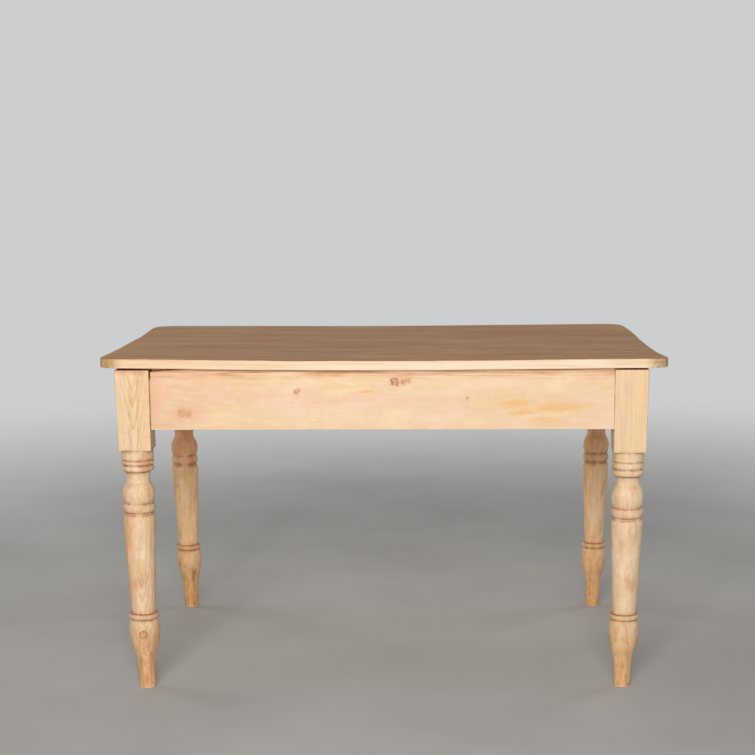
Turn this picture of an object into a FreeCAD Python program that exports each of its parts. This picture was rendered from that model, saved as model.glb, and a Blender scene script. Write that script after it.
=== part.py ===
# Kitchen table of scrubbed pine with a drawer in each end, modelled standing on the floor.
# Origin on the floor under the middle of the top, +X along the table, +Z up, -Y the near long side.
import FreeCAD, Part
import Sketcher
import os

doc = FreeCAD.newDocument("kitchen_table")

# Driving sizes in millimetres, angles in degrees
sizes = {
    # top
    "top_length": 1275,
    "top_depth": 850,
    "table_height": 762,
    "top_thickness": 22,
    "front_corner_radius": 40,
    "back_corner_radius": 55,
    "top_edge_round": 3,
    "board_gap": 0.4,
    "tongue_thickness": 7,
    "tongue_length": 9,
    # legs
    "end_overhang": 37.5,
    "side_overhang": 16,
    "block_width": 77,
    "block_foot_width": 73,
    "block_length": 192,
    "turning_diameter": 74,
    "left_lean": 1.35,
    "right_lean": 0.75,
    "trim_allowance": 3,
    # long rails
    "rail_height": 138,
    "rail_thickness": 25,
    "rail_setback": 4,
    "rail_tenon_thickness": 9,
    "rail_tenon_length": 42,
    "rail_tenon_drop": 24,
    "rail_tenon_lift": 14,
    # end rails above and below each drawer
    "end_setback": 3,
    "end_rail_thickness": 22,
    "end_rail_width": 56,
    "dovetail_root_width": 28,
    "dovetail_end_width": 36,
    "end_tenon_length": 30,
    "drawer_rail_tenon_width": 34,
    "drawer_rail_tenon_thickness": 12,
    # inner framing that carries and guides the drawers
    "bearer_width": 60,
    "bearer_tenon_width": 40,
    "bearer_tenon_thickness": 12,
    "bearer_tenon_length": 12,
    "runner_bearing": 34,
    "stub_tenon_thickness": 8,
    "stub_tenon_length": 10,
    "stub_tenon_inset": 6,
    "guide_height": 16,
    "notch_clearance": 2,
    "stop_length": 24,
    "stop_width": 22,
    "stop_height": 12,
    # drawers
    "drawer_length": 470,
    "drawer_gap": 1,
    "drawer_front_thickness": 20,
    "drawer_side_thickness": 12,
    "drawer_back_thickness": 12,
    "drawer_back_drop": 8,
    "drawer_bottom_thickness": 8,
    "drawer_bottom_rise": 10,
    "side_groove_depth": 6,
    "front_groove_depth": 7,
    "dovetail_lap": 6,
    "tail_root_width": 17,
    "tail_end_width": 22,
    "pin_end_width": 6,
    "pin_root_width": 10,
    "knob_diameter": 44,
    "knob_projection": 34,
    "knob_spigot_diameter": 13,
    # fasteners
    "screw_length": 34,
    "screw_diameter": 4.2,
    "screw_head_diameter": 8.4,
    "screw_head_height": 3.2,
    "screw_point_height": 6,
    "screw_slot_width": 1.1,
    "screw_slot_depth": 1.3,
    "nail_diameter": 2.2,
    "guide_nail_length": 30,
    "bottom_nail_length": 25,
    # clearances
    "joint_clearance": 0.2,
    "fastener_clearance": 0.1,
    "running_clearance": 0.3,
    "cut_overrun": 5,
}

sheet = doc.addObject("Spreadsheet::Sheet", "sizes")
for row, (alias, value) in enumerate(sizes.items(), start=1):
    sheet.set(f"A{row}", alias)
    sheet.set(f"B{row}", str(value))
    sheet.setAlias(f"B{row}", alias)
doc.recompute()

# Places worked out from the driving sizes, as expressions on the sheet
frame_top = "(sizes.table_height - sizes.top_thickness)"
turned_length = f"({frame_top} - sizes.block_length)"
rail_foot = f"({frame_top} - sizes.rail_height)"
leg_x = "(sizes.top_length / 2 - sizes.end_overhang - sizes.block_width / 2)"
leg_y = "(sizes.top_depth / 2 - sizes.side_overhang - sizes.block_width / 2)"
leg_inner_y = f"({leg_y} - sizes.block_width / 2)"
block_taper = "((sizes.block_width - sizes.block_foot_width) / 2 / sizes.block_length)"
rail_outer_y = f"({leg_y} + sizes.block_width / 2 - sizes.rail_setback)"
rail_inner_y = f"({rail_outer_y} - sizes.rail_thickness)"
runner_inner_y = f"({leg_inner_y} - sizes.runner_bearing)"
runner_top = f"({rail_foot} + sizes.end_rail_thickness)"
kicker_foot = f"({frame_top} - sizes.end_rail_thickness)"
drawer_half_width = f"({leg_inner_y} - sizes.drawer_gap)"
drawer_foot = f"({runner_top} + sizes.running_clearance)"
drawer_front_foot = f"({runner_top} + sizes.drawer_gap)"
drawer_top = f"({kicker_foot} - sizes.drawer_gap)"
board_width = "(sizes.top_depth / 3)"

lean = {"left": "sizes.left_lean", "right": "sizes.right_lean"}
side_sign = {"left": -1, "right": 1}
row_sign = {"front": -1, "back": 1}


def lean_shift(side):
    # How far the leaning leg has moved in by the foot of the rails
    return f"(sizes.rail_height * tan({lean[side]}))"


def shoulder_x(side):
    # Where the long rails stop against the leg, touching at their foot
    return (
        f"({leg_x} - sizes.block_width / 2 + {block_taper} * sizes.rail_height"
        f" - {lean_shift(side)} - sizes.joint_clearance)"
    )


def end_face_x(side):
    # The face of the end rails and of the closed drawer
    return (
        f"({leg_x} + sizes.block_width / 2 - {block_taper} * sizes.rail_height"
        f" - {lean_shift(side)} - sizes.end_setback)"
    )


def end_inner_x(side):
    return f"({end_face_x(side)} - sizes.end_rail_width)"


def end_middle_x(side):
    return f"({end_face_x(side)} - sizes.end_rail_width / 2)"


def flip(span, sign):
    # The same span on the other side of the middle
    low, high = span
    return span if sign > 0 else (f"-({high})", f"-({low})")


def about(middle, width):
    return (f"{middle} - {width} / 2", f"{middle} + {width} / 2")


def bind(piece, rules):
    for name, rule in rules.items():
        piece.setExpression(name, rule)


def bar(name, x, y, z):
    # A straight piece of timber between three spans
    piece = doc.addObject("Part::Box", name)
    for size, axis, (low, high) in zip(("Length", "Width", "Height"), "xyz", (x, y, z)):
        bind(piece, {size: f"({high}) - ({low})", f"Placement.Base.{axis}": low})
    return piece


def place(piece, x, y, z):
    bind(piece, {"Placement.Base.x": x, "Placement.Base.y": y, "Placement.Base.z": z})
    return piece


def rod(name, x, y, foot, diameter, length):
    piece = doc.addObject("Part::Cylinder", name)
    bind(piece, {"Radius": f"({diameter}) / 2", "Height": length})
    return place(piece, x, y, foot)


def cone(name, x, y, foot, foot_diameter, top_diameter, height):
    piece = doc.addObject("Part::Cone", name)
    bind(piece, {"Radius1": f"({foot_diameter}) / 2", "Radius2": f"({top_diameter}) / 2"})
    bind(piece, {"Height": height})
    return place(piece, x, y, foot)


# Dovetails lie along +X with their width upright, or along +Y and -Y with their width flat
flare_along_x = FreeCAD.Rotation(FreeCAD.Vector(0, 0, 1), -90)
flare_towards = {
    "front": FreeCAD.Rotation(FreeCAD.Vector(1, 0, 1), 180),
    "back": FreeCAD.Rotation(FreeCAD.Vector(0, 1, 0), -90),
}


def flared(name, rotation, thickness, length, start_width, end_width):
    piece = doc.addObject("Part::Wedge", name)
    piece.Placement = FreeCAD.Placement(FreeCAD.Vector(0, 0, 0), rotation)
    bind(piece, {"Xmin": "0", "X2min": "0", "Xmax": thickness, "X2max": thickness})
    bind(piece, {"Ymin": "0", "Ymax": length})
    bind(piece, {"Zmin": f"-{start_width} / 2", "Zmax": f"{start_width} / 2"})
    bind(piece, {"Z2min": f"-{end_width} / 2", "Z2max": f"{end_width} / 2"})
    return piece


def join(name, pieces):
    whole = doc.addObject("Part::MultiFuse", name)
    whole.Shapes = pieces
    return whole


def cut(name, base, tools):
    piece = doc.addObject("Part::Cut", name)
    piece.Base = base
    piece.Tool = tools[0] if len(tools) == 1 else join(f"{name}_cuts", tools)
    return piece


def group(name, pieces):
    whole = doc.addObject("Part::Compound", name)
    whole.Links = pieces
    return whole


def new_sketch(body, name, role, lift="0"):
    sketch = body.newObject("Sketcher::SketchObject", name)
    plane = next(feature for feature in body.Origin.OriginFeatures if feature.Role == role)
    sketch.AttachmentSupport = [(plane, "")]
    sketch.MapMode = "FlatFace"
    sketch.setExpression("AttachmentOffset.Base.z", lift)
    return sketch


def hold(sketch, geometry, end, across, along):
    # Keep one point of the sketch at its place from the sketch's origin
    for kind, (value, rule) in (("DistanceX", across), ("DistanceY", along)):
        index = sketch.addConstraint(Sketcher.Constraint(kind, -1, 1, geometry, end, value))
        sketch.setExpression(f"Constraints[{index}]", rule)


def vector(across, along):
    return FreeCAD.Vector(across[0], along[0], 0)


def outline(sketch, stretches):
    # A closed outline of straight and bowed stretches: each gives its end, and a bow a point on the way
    ends = [end for end, bow in stretches]
    for number, (end, bow) in enumerate(stretches):
        start = ends[number - 1]
        if bow is None:
            line = sketch.addGeometry(Part.LineSegment(vector(*start), vector(*end)), False)
            hold(sketch, line, 1, *start)
            hold(sketch, line, 2, *end)
            continue
        arc = Part.Arc(vector(*start), vector(*bow), vector(*end))
        curve = sketch.addGeometry(arc, False)
        first = sketch.getPoint(curve, 1).isEqual(vector(*start), same_place)
        hold(sketch, curve, 1 if first else 2, *start)
        hold(sketch, curve, 2 if first else 1, *end)
        crown = sketch.addGeometry(Part.Point(vector(*bow)), True)
        hold(sketch, crown, 1, *bow)
        sketch.addConstraint(Sketcher.Constraint("PointOnObject", crown, 1, curve))


def rectangle(sketch, across, along):
    # A unit square pulled out to two spans
    corners = [FreeCAD.Vector(x, y, 0) for x, y in ((-1, -1), (1, -1), (1, 1), (-1, 1))]
    for number, corner in enumerate(corners):
        sketch.addGeometry(Part.LineSegment(corner, corners[(number + 1) % len(corners)]), False)
    for number in range(len(corners)):
        following = (number + 1) % len(corners)
        sketch.addConstraint(Sketcher.Constraint("Coincident", number, 2, following, 1))
        sketch.addConstraint(Sketcher.Constraint("Vertical" if number % 2 else "Horizontal", number))
    for line, sign, end in ((0, -1, 0), (2, 1, 1)):
        for kind, span in (("DistanceX", across), ("DistanceY", along)):
            index = sketch.addConstraint(Sketcher.Constraint(kind, -1, 1, line, 1, sign))
            sketch.setExpression(f"Constraints[{index}]", span[end])


def edges_where(shape, wanted):
    return [f"Edge{number}" for number, edge in enumerate(shape.Edges, start=1) if wanted(edge)]


def ease(body, name, base, wanted, radius):
    doc.recompute()
    round_over = body.newObject("PartDesign::Fillet", name)
    round_over.Base = (base, edges_where(base.Shape, wanted))
    round_over.setExpression("Radius", radius)
    return round_over


same_place = 1e-6
nodes = []


def keep(piece):
    # A finished piece of the table, under its own name
    piece.Label = piece.Name
    nodes.append(piece)
    return piece


def grown(span, by="sizes.joint_clearance"):
    low, high = span
    return (f"{low} - {by}", f"{high} + {by}")


# Joint spans shared by the two pieces that meet there
rail_tenon_y = about(f"({rail_outer_y} - sizes.rail_thickness / 2)", "sizes.rail_tenon_thickness")
rail_tenon_z = (f"{rail_foot} + sizes.rail_tenon_lift", f"{frame_top} - sizes.rail_tenon_drop")
drawer_rail_middle_z = f"({rail_foot} + sizes.end_rail_thickness / 2)"
kicker_middle_z = f"({kicker_foot} + sizes.end_rail_thickness / 2)"
drawer_rail_shoulder_y = (
    f"({leg_inner_y} + {block_taper} * (sizes.rail_height - sizes.end_rail_thickness)"
    " - sizes.joint_clearance)"
)
drawer_rail_tenon_y = f"({drawer_rail_shoulder_y} + sizes.end_tenon_length)"
drawer_rail_tenon_z = about(drawer_rail_middle_z, "sizes.drawer_rail_tenon_thickness")
stub_y = (f"{runner_inner_y} + sizes.stub_tenon_inset", f"{leg_inner_y} - sizes.stub_tenon_inset")
runner_stub_z = about(drawer_rail_middle_z, "sizes.stub_tenon_thickness")
kicker_stub_z = about(kicker_middle_z, "sizes.stub_tenon_thickness")
bearer_tenon_x = about("0", "sizes.bearer_tenon_width")
bearer_tenon_z = about(drawer_rail_middle_z, "sizes.bearer_tenon_thickness")
bearer_tenon_y = f"({rail_inner_y} + sizes.bearer_tenon_length)"
past_rail_y = f"{rail_inner_y} + sizes.cut_overrun"
past_end_x = "sizes.top_length / 2"


# Screws that hold the top down, driven up through the kickers and the upper end rails
kicker_screw_shares = (-0.75, -0.25, 0.25, 0.75)
end_screw_shares = (-0.75, 0, 0.75)
screw_places = {}
for row in row_sign:
    middle_y = f"{row_sign[row]} * ({runner_inner_y} + {rail_inner_y}) / 2"
    screw_places[f"kicker_{row}"] = [(f"{share} * {leg_x}", middle_y) for share in kicker_screw_shares]
for side in side_sign:
    middle_x = f"{side_sign[side]} * {end_middle_x(side)}"
    screw_places[f"end_rail_{side}"] = [(middle_x, f"{share} * {leg_inner_y}") for share in end_screw_shares]


def screw(name, x, y):
    shank_length = "(sizes.screw_length - sizes.screw_point_height)"
    head = cone(
        f"{name}_head", x, y, kicker_foot,
        "sizes.screw_head_diameter", "sizes.screw_diameter", "sizes.screw_head_height",
    )
    shank = rod(f"{name}_shank", x, y, kicker_foot, "sizes.screw_diameter", shank_length)
    point = cone(
        f"{name}_point", x, y, f"{kicker_foot} + {shank_length}",
        "sizes.screw_diameter", "0", "sizes.screw_point_height",
    )
    slot = bar(
        f"{name}_slot",
        about(x, "2 * sizes.screw_head_diameter"),
        about(y, "sizes.screw_slot_width"),
        (f"{kicker_foot} - sizes.cut_overrun", f"{kicker_foot} + sizes.screw_slot_depth"),
    )
    return cut(name, join(f"{name}_whole", [head, shank, point]), [slot])


def screw_hole(name, x, y):
    play = "2 * sizes.fastener_clearance"
    sink = cone(
        f"{name}_sink", x, y, kicker_foot,
        f"sizes.screw_head_diameter + {play}", f"sizes.screw_diameter + {play}", "sizes.screw_head_height",
    )
    bore = rod(
        f"{name}_bore", x, y, f"{kicker_foot} - sizes.cut_overrun",
        f"sizes.screw_diameter + {play}",
        "sizes.screw_length + sizes.cut_overrun + sizes.fastener_clearance",
    )
    return join(name, [sink, bore])


screws = []
screw_holes = {}
for carrier, spots in screw_places.items():
    screw_holes[carrier] = []
    for number, spot in enumerate(spots, start=1):
        screws.append(screw(f"{carrier}_screw_{number}", *spot))
        screw_holes[carrier].append(screw_hole(f"{carrier}_hole_{number}", *spot))
keep(group("top_screws", screws))


# Three boards make the top, tongued into one another, the outer two with rounded corners
tongue_z = about(f"({frame_top} + sizes.top_thickness / 2)", "sizes.tongue_thickness")
end_to_end = about("0", "sizes.top_length")
board_rows = ("front", "middle", "back")


def board_edge(number):
    # The line between two boards, counted from the near edge
    return f"({number} * {board_width} - sizes.top_depth / 2)"


def board_holes(row):
    holes = []
    if row != "middle":
        holes += screw_holes[f"kicker_{row}"]
    for side in side_sign:
        holes.append(screw_holes[f"end_rail_{side}"][board_rows.index(row)])
    return holes


def top_board(number, row):
    name = f"top_board_{row}"
    near = board_edge(number) if row == "front" else f"{board_edge(number)} + sizes.board_gap / 2"
    far = board_edge(number + 1) if row == "back" else f"{board_edge(number + 1)} - sizes.board_gap / 2"
    body = doc.addObject("PartDesign::Body", f"{name}_plank")
    plan = new_sketch(body, f"{name}_plan", "XY_Plane", frame_top)
    rectangle(plan, end_to_end, (near, far))
    plank = body.newObject("PartDesign::Pad", f"{name}_pad")
    plank.Profile = plan
    plank.setExpression("Length", "sizes.top_thickness")
    doc.recompute()
    box = plank.Shape.BoundBox
    joint_y = {"front": (box.YMax,), "middle": (box.YMin, box.YMax), "back": (box.YMin,)}[row]

    def free_corner(edge):
        upright = edge.BoundBox.ZLength > box.ZLength / 2
        return upright and all(abs(edge.CenterOfMass.y - y) > same_place for y in joint_y)

    def top_arris(edge):
        on_top = edge.BoundBox.ZMin > box.ZMax - same_place
        return on_top and all(abs(edge.CenterOfMass.y - y) > same_place for y in joint_y)

    shaped = plank
    if row != "middle":
        shaped = ease(body, f"{name}_corners", plank, free_corner, f"sizes.{row}_corner_radius")
    ease(body, f"{name}_arris", shaped, top_arris, "sizes.top_edge_round")
    base = body
    if row != "front":
        tongue_y = (f"{near} - sizes.tongue_length", f"{near} + sizes.tongue_length")
        base = join(f"{name}_tongued", [body, bar(f"{name}_tongue", end_to_end, tongue_y, tongue_z)])
    cuts = board_holes(row)
    if row != "back":
        groove_y = (f"{far} - sizes.tongue_length", f"{far} + sizes.cut_overrun")
        groove_x = grown(end_to_end, "sizes.cut_overrun")
        groove_z = grown(tongue_z)
        cuts.append(bar(f"{name}_groove", groove_x, groove_y, groove_z))
    keep(cut(name, base, cuts))


for number, row in enumerate(board_rows):
    top_board(number, row)


# Turned legs: a square block above, then collar, rings, vase, long taper, ring, bulb and foot.
# Each stretch ends at a share of the largest radius and of the turned height above the floor,
# and a bowed stretch also passes through such a place on its way.
turning_shares = (
    ((0, 1), None),
    ((0.978, 1), None),
    ((0.978, 0.959), None),
    ((0.890, 0.956), None),
    ((0.876, 0.925), (1.000, 0.941)),
    ((0.769, 0.894), (0.988, 0.910)),
    ((0.744, 0.849), (0.708, 0.873)),
    ((0.865, 0.762), (0.998, 0.802)),
    ((0.890, 0.722), (1.000, 0.742)),
    ((0.871, 0.716), None),
    ((0.988, 0.690), (0.958, 0.706)),
    ((0.725, 0.314), (0.866, 0.495)),
    ((0.817, 0.288), (0.937, 0.301)),
    ((0.827, 0.285), None),
    ((0.890, 0.198), (0.944, 0.238)),
    ((0.701, 0.150), (0.822, 0.174)),
    ((0.521, 0.055), (0.564, 0.105)),
    ((0.506, 0), None),
)


def turning_point(radius_share, height_share):
    turned = sizes["table_height"] - sizes["top_thickness"] - sizes["block_length"]
    drop = sizes["table_height"] - sizes["top_thickness"]
    across = (
        radius_share * sizes["turning_diameter"] / 2,
        f"{radius_share} * sizes.turning_diameter / 2",
    )
    along = (height_share * turned - drop, f"{height_share} * {turned_length} - {frame_top}")
    return across, along


def turning_outline():
    stretches = []
    for end_shares, bow_shares in turning_shares:
        bow = turning_point(*bow_shares) if bow_shares else None
        stretches.append((turning_point(*end_shares), bow))
    foot_across = stretches[-1][0][0]
    centre = stretches[0][0][0]
    drop = sizes["table_height"] - sizes["top_thickness"] + sizes["trim_allowance"]
    below = (-drop, f"-{frame_top} - sizes.trim_allowance")
    stretches.append(((foot_across, below), None))
    stretches.append(((centre, below), None))
    return stretches


def leg_blank(name, row, side):
    # The leg before its joints are cut, standing at its lean and a little too long at both ends
    body = doc.addObject("PartDesign::Body", f"{name}_blank")
    block_top = new_sketch(body, f"{name}_block_top", "XY_Plane", "sizes.trim_allowance")
    rectangle(block_top, about("0", "sizes.block_width"), about("0", "sizes.block_width"))
    block_foot = new_sketch(body, f"{name}_block_foot", "XY_Plane", "-sizes.block_length")
    rectangle(block_foot, about("0", "sizes.block_foot_width"), about("0", "sizes.block_foot_width"))
    block = body.newObject("PartDesign::AdditiveLoft", f"{name}_block")
    block.Profile = block_top
    block.Sections = [block_foot]
    block.Ruled = True
    profile = new_sketch(body, f"{name}_profile", "XZ_Plane")
    outline(profile, turning_outline())
    turning = body.newObject("PartDesign::Revolution", f"{name}_turning")
    turning.Profile = profile
    turning.ReferenceAxis = (profile, ["V_Axis"])
    turning.Angle = 360
    lean_axis = FreeCAD.Vector(0, side_sign[side], 0)
    body.Placement = FreeCAD.Placement(
        FreeCAD.Vector(0, 0, 0), FreeCAD.Rotation(lean_axis, sizes[f"{side}_lean"])
    )
    body.setExpression("Placement.Rotation.Angle", lean[side])
    return place(body, f"{side_sign[side]} * {leg_x}", f"{row_sign[row]} * {leg_y}", frame_top)


def end_dovetail(name, row, side):
    # The tail on the upper end rail that drops into the top of the leg
    tail = flared(
        name, flare_towards[row],
        "sizes.end_rail_thickness", "sizes.end_tenon_length",
        "sizes.dovetail_root_width", "sizes.dovetail_end_width",
    )
    shoulder_y = f"{row_sign[row]} * ({leg_inner_y} - sizes.joint_clearance)"
    return place(tail, f"{side_sign[side]} * {end_middle_x(side)}", shoulder_y, kicker_foot)


# Sawn level at the floor and under the top
level = bar(
    "level",
    grown(end_to_end, "sizes.cut_overrun"),
    grown(about("0", "sizes.top_depth"), "sizes.cut_overrun"),
    ("0", frame_top),
)
end_dovetails = {}
for side in side_sign:
    for row in row_sign:
        name = f"leg_{row}_{side}"
        levelled = doc.addObject("Part::Common", f"{name}_levelled")
        levelled.Base = leg_blank(name, row, side)
        levelled.Tool = level
        end_dovetails[row, side] = end_dovetail(f"end_dovetail_{row}_{side}", row, side)
        rail_mortise_x = (
            f"{shoulder_x(side)} - sizes.cut_overrun",
            f"{shoulder_x(side)} + sizes.rail_tenon_length + sizes.joint_clearance",
        )
        rail_mortise = bar(
            f"{name}_rail_mortise",
            flip(rail_mortise_x, side_sign[side]),
            flip(grown(rail_tenon_y), row_sign[row]),
            grown(rail_tenon_z),
        )
        drawer_rail_mortise_y = (
            f"{drawer_rail_shoulder_y} - sizes.cut_overrun",
            f"{drawer_rail_tenon_y} + sizes.joint_clearance",
        )
        drawer_rail_mortise = bar(
            f"{name}_drawer_rail_mortise",
            flip(grown(about(end_middle_x(side), "sizes.drawer_rail_tenon_width")), side_sign[side]),
            flip(drawer_rail_mortise_y, row_sign[row]),
            grown(drawer_rail_tenon_z),
        )
        keep(cut(name, levelled, [rail_mortise, drawer_rail_mortise, end_dovetails[row, side]]))


# Long rails, tenoned into the legs and mortised inside for the cross bearer
for row in row_sign:
    name = f"side_rail_{row}"
    board = bar(
        f"{name}_board",
        (f"-{shoulder_x('left')}", shoulder_x("right")),
        flip((rail_inner_y, rail_outer_y), row_sign[row]),
        (rail_foot, frame_top),
    )
    tenon_x = (
        f"-{shoulder_x('left')} - sizes.rail_tenon_length",
        f"{shoulder_x('right')} + sizes.rail_tenon_length",
    )
    tenons = bar(f"{name}_tenons", tenon_x, flip(rail_tenon_y, row_sign[row]), rail_tenon_z)
    bearer_mortise_y = (f"{rail_inner_y} - sizes.cut_overrun", f"{bearer_tenon_y} + sizes.joint_clearance")
    bearer_mortise = bar(
        f"{name}_bearer_mortise",
        grown(bearer_tenon_x),
        flip(bearer_mortise_y, row_sign[row]),
        grown(bearer_tenon_z),
    )
    keep(cut(name, join(f"{name}_whole", [board, tenons]), [bearer_mortise]))


def stub_mortises(name, side, z):
    # Sockets in the inner edge of an end rail, one near each long rail
    x = (f"{end_inner_x(side)} - sizes.cut_overrun",
         f"{end_inner_x(side)} + sizes.stub_tenon_length + sizes.joint_clearance")
    return [
        bar(f"{name}_{row}_socket", flip(x, side_sign[side]), flip(grown(stub_y), row_sign[row]), grown(z))
        for row in row_sign
    ]


# Across each end, one rail above the drawer and one below it
for side in side_sign:
    rail_x = flip((end_inner_x(side), end_face_x(side)), side_sign[side])

    name = f"end_rail_{side}"
    half_length = f"({leg_inner_y} - sizes.joint_clearance)"
    board = bar(f"{name}_board", rail_x, (f"-{half_length}", half_length), (kicker_foot, frame_top))
    tails = [end_dovetails[row, side] for row in row_sign]
    sockets = stub_mortises(name, side, kicker_stub_z)
    keep(cut(name, join(f"{name}_whole", [board] + tails), sockets + screw_holes[name]))

    name = f"drawer_rail_{side}"
    board = bar(
        f"{name}_board",
        rail_x,
        (f"-{drawer_rail_shoulder_y}", drawer_rail_shoulder_y),
        (rail_foot, runner_top),
    )
    tenons = bar(
        f"{name}_tenons",
        flip(about(end_middle_x(side), "sizes.drawer_rail_tenon_width"), side_sign[side]),
        (f"-{drawer_rail_tenon_y}", drawer_rail_tenon_y),
        drawer_rail_tenon_z,
    )
    keep(cut(name, join(f"{name}_whole", [board, tenons]), stub_mortises(name, side, runner_stub_z)))


# Cross bearer between the long rails, which carries the inner ends of the runners
bearer = join("centre_bearer_whole", [
    bar(
        "centre_bearer_board",
        about("0", "sizes.bearer_width"),
        (f"-{rail_inner_y}", rail_inner_y),
        (rail_foot, runner_top),
    ),
    bar("centre_bearer_tenons", bearer_tenon_x, (f"-{bearer_tenon_y}", bearer_tenon_y), bearer_tenon_z),
])
bearer_edge = "sizes.bearer_width / 2"
bearer_socket_x = (
    f"{bearer_edge} - sizes.stub_tenon_length - sizes.joint_clearance",
    f"{bearer_edge} + sizes.cut_overrun",
)
bearer_sockets = [
    bar(
        f"centre_bearer_{row}_{side}_socket",
        flip(bearer_socket_x, side_sign[side]),
        flip(grown(stub_y), row_sign[row]),
        grown(runner_stub_z),
    )
    for side in side_sign for row in row_sign
]
keep(cut("centre_bearer", bearer, bearer_sockets))


# Runners under the drawer sides, each with a guide nailed on top
guide_nail_shares = (0.3, 0.8)
guide_y = (leg_inner_y, rail_inner_y)
guide_top = f"({runner_top} + sizes.guide_height)"
guide_nails = []
drawer_stops = []
for side in side_sign:
    for row in row_sign:
        across, along = side_sign[side], row_sign[row]
        corner = f"{row}_{side}"
        guide_end = f"({shoulder_x(side)} - sizes.notch_clearance)"
        nail_holes = []
        for number, share in enumerate(guide_nail_shares, start=1):
            spot = (
                f"{across} * ({bearer_edge} + {share} * ({guide_end} - {bearer_edge}))",
                f"{along} * ({leg_inner_y} + {rail_inner_y}) / 2",
                f"{guide_top} - sizes.guide_nail_length",
            )
            nail_name = f"guide_nail_{corner}_{number}"
            nail = rod(nail_name, *spot, "sizes.nail_diameter", "sizes.guide_nail_length")
            hole_diameter = "sizes.nail_diameter + 2 * sizes.fastener_clearance"
            hole_length = "sizes.guide_nail_length + sizes.cut_overrun"
            guide_nails.append(nail)
            nail_holes.append(rod(f"{nail_name}_hole", *spot, hole_diameter, hole_length))

        name = f"runner_{corner}"
        board = bar(
            f"{name}_board",
            flip((bearer_edge, end_inner_x(side)), across),
            flip((runner_inner_y, rail_inner_y), along),
            (rail_foot, runner_top),
        )
        stub_x = (
            f"{bearer_edge} - sizes.stub_tenon_length",
            f"{end_inner_x(side)} + sizes.stub_tenon_length",
        )
        stubs = bar(f"{name}_stubs", flip(stub_x, across), flip(stub_y, along), runner_stub_z)
        notch = bar(
            f"{name}_notch",
            flip((guide_end, past_end_x), across),
            flip((f"{leg_inner_y} - sizes.notch_clearance", past_rail_y), along),
            grown((rail_foot, runner_top), "sizes.cut_overrun"),
        )
        keep(cut(name, join(f"{name}_whole", [board, stubs]), [notch] + nail_holes))

        name = f"guide_{corner}"
        board = bar(
            f"{name}_board",
            flip((bearer_edge, guide_end), across),
            flip(guide_y, along),
            (runner_top, guide_top),
        )
        keep(cut(name, board, nail_holes))

        stop_face = f"({end_face_x(side)} - sizes.drawer_length - sizes.running_clearance)"
        drawer_stops.append(bar(
            f"drawer_stop_{corner}",
            flip((f"{stop_face} - sizes.stop_length", stop_face), across),
            flip((f"{drawer_half_width} - sizes.stop_width", drawer_half_width), along),
            (runner_top, f"{runner_top} + sizes.stop_height"),
        ))
keep(group("guide_nails", guide_nails))
keep(group("drawer_stops", drawer_stops))


# Kickers under the top, which keep an open drawer from tipping
for row in row_sign:
    along = row_sign[row]
    name = f"kicker_{row}"
    board = bar(
        f"{name}_board",
        (f"-{end_inner_x('left')}", end_inner_x("right")),
        flip((runner_inner_y, rail_inner_y), along),
        (kicker_foot, frame_top),
    )
    stub_x = (
        f"-{end_inner_x('left')} - sizes.stub_tenon_length",
        f"{end_inner_x('right')} + sizes.stub_tenon_length",
    )
    stubs = bar(f"{name}_stubs", stub_x, flip(stub_y, along), kicker_stub_z)
    notches = [
        bar(
            f"{name}_{side}_notch",
            flip((f"{shoulder_x(side)} - sizes.notch_clearance", past_end_x), side_sign[side]),
            flip((f"{leg_inner_y} - sizes.notch_clearance", past_rail_y), along),
            grown((kicker_foot, frame_top), "sizes.cut_overrun"),
        )
        for side in side_sign
    ]
    keep(cut(name, join(f"{name}_whole", [board, stubs]), notches + screw_holes[name]))


# Drawers, drawn with the face at zero and opening towards +X, then set into each end.
# Turned knob: shares of its projection and of its largest radius.
knob_shares = (
    ((0, 0.60), None),
    ((0.10, 0.60), None),
    ((0.46, 0.54), (0.28, 0.42)),
    ((0.90, 0.80), (0.68, 1)),
    ((1, 0.15), (0.972, 0.48)),
    ((1, 0), None),
)
tail_place_shares = (0.17, 0.5, 0.83)
pin_place_shares = (0.14, 0.5, 0.86)
bottom_nail_shares = (-0.8, -0.3, 0.3, 0.8)
front_back_x = "(-sizes.drawer_front_thickness)"
drawer_rear_x = "(-sizes.drawer_length)"
back_face_x = f"({drawer_rear_x} + sizes.drawer_back_thickness)"
side_inner_y = f"({drawer_half_width} - sizes.drawer_side_thickness)"
groove_end_y = f"({side_inner_y} + sizes.side_groove_depth)"
bottom_foot = f"({drawer_foot} + sizes.drawer_bottom_rise)"
bottom_top = f"({bottom_foot} + sizes.drawer_bottom_thickness)"
groove_z = grown((bottom_foot, bottom_top), "sizes.fastener_clearance")
groove_front_x = f"({front_back_x} + sizes.front_groove_depth)"
back_foot = f"({bottom_top} + sizes.fastener_clearance)"
back_top = f"({drawer_top} - sizes.drawer_back_drop)"
knob_height = f"({drawer_front_foot} + {drawer_top}) / 2"


def place_along(share, low, high):
    return f"({low} + {share} * ({high} - {low}))"


def knob_outline():
    def knob_point(along_share, across_share):
        along = (along_share * sizes["knob_projection"], f"{along_share} * sizes.knob_projection")
        across = (across_share * sizes["knob_diameter"] / 2, f"{across_share} * sizes.knob_diameter / 2")
        return along, across

    inside = (-sizes["drawer_front_thickness"], front_back_x)
    at_face = (0, "0")
    on_axis = (0, "0")
    spigot = (sizes["knob_spigot_diameter"] / 2, "sizes.knob_spigot_diameter / 2")
    stretches = [((inside, on_axis), None), ((inside, spigot), None), ((at_face, spigot), None)]
    for end_shares, bow_shares in knob_shares:
        stretches.append((knob_point(*end_shares), knob_point(*bow_shares) if bow_shares else None))
    return stretches


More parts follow.
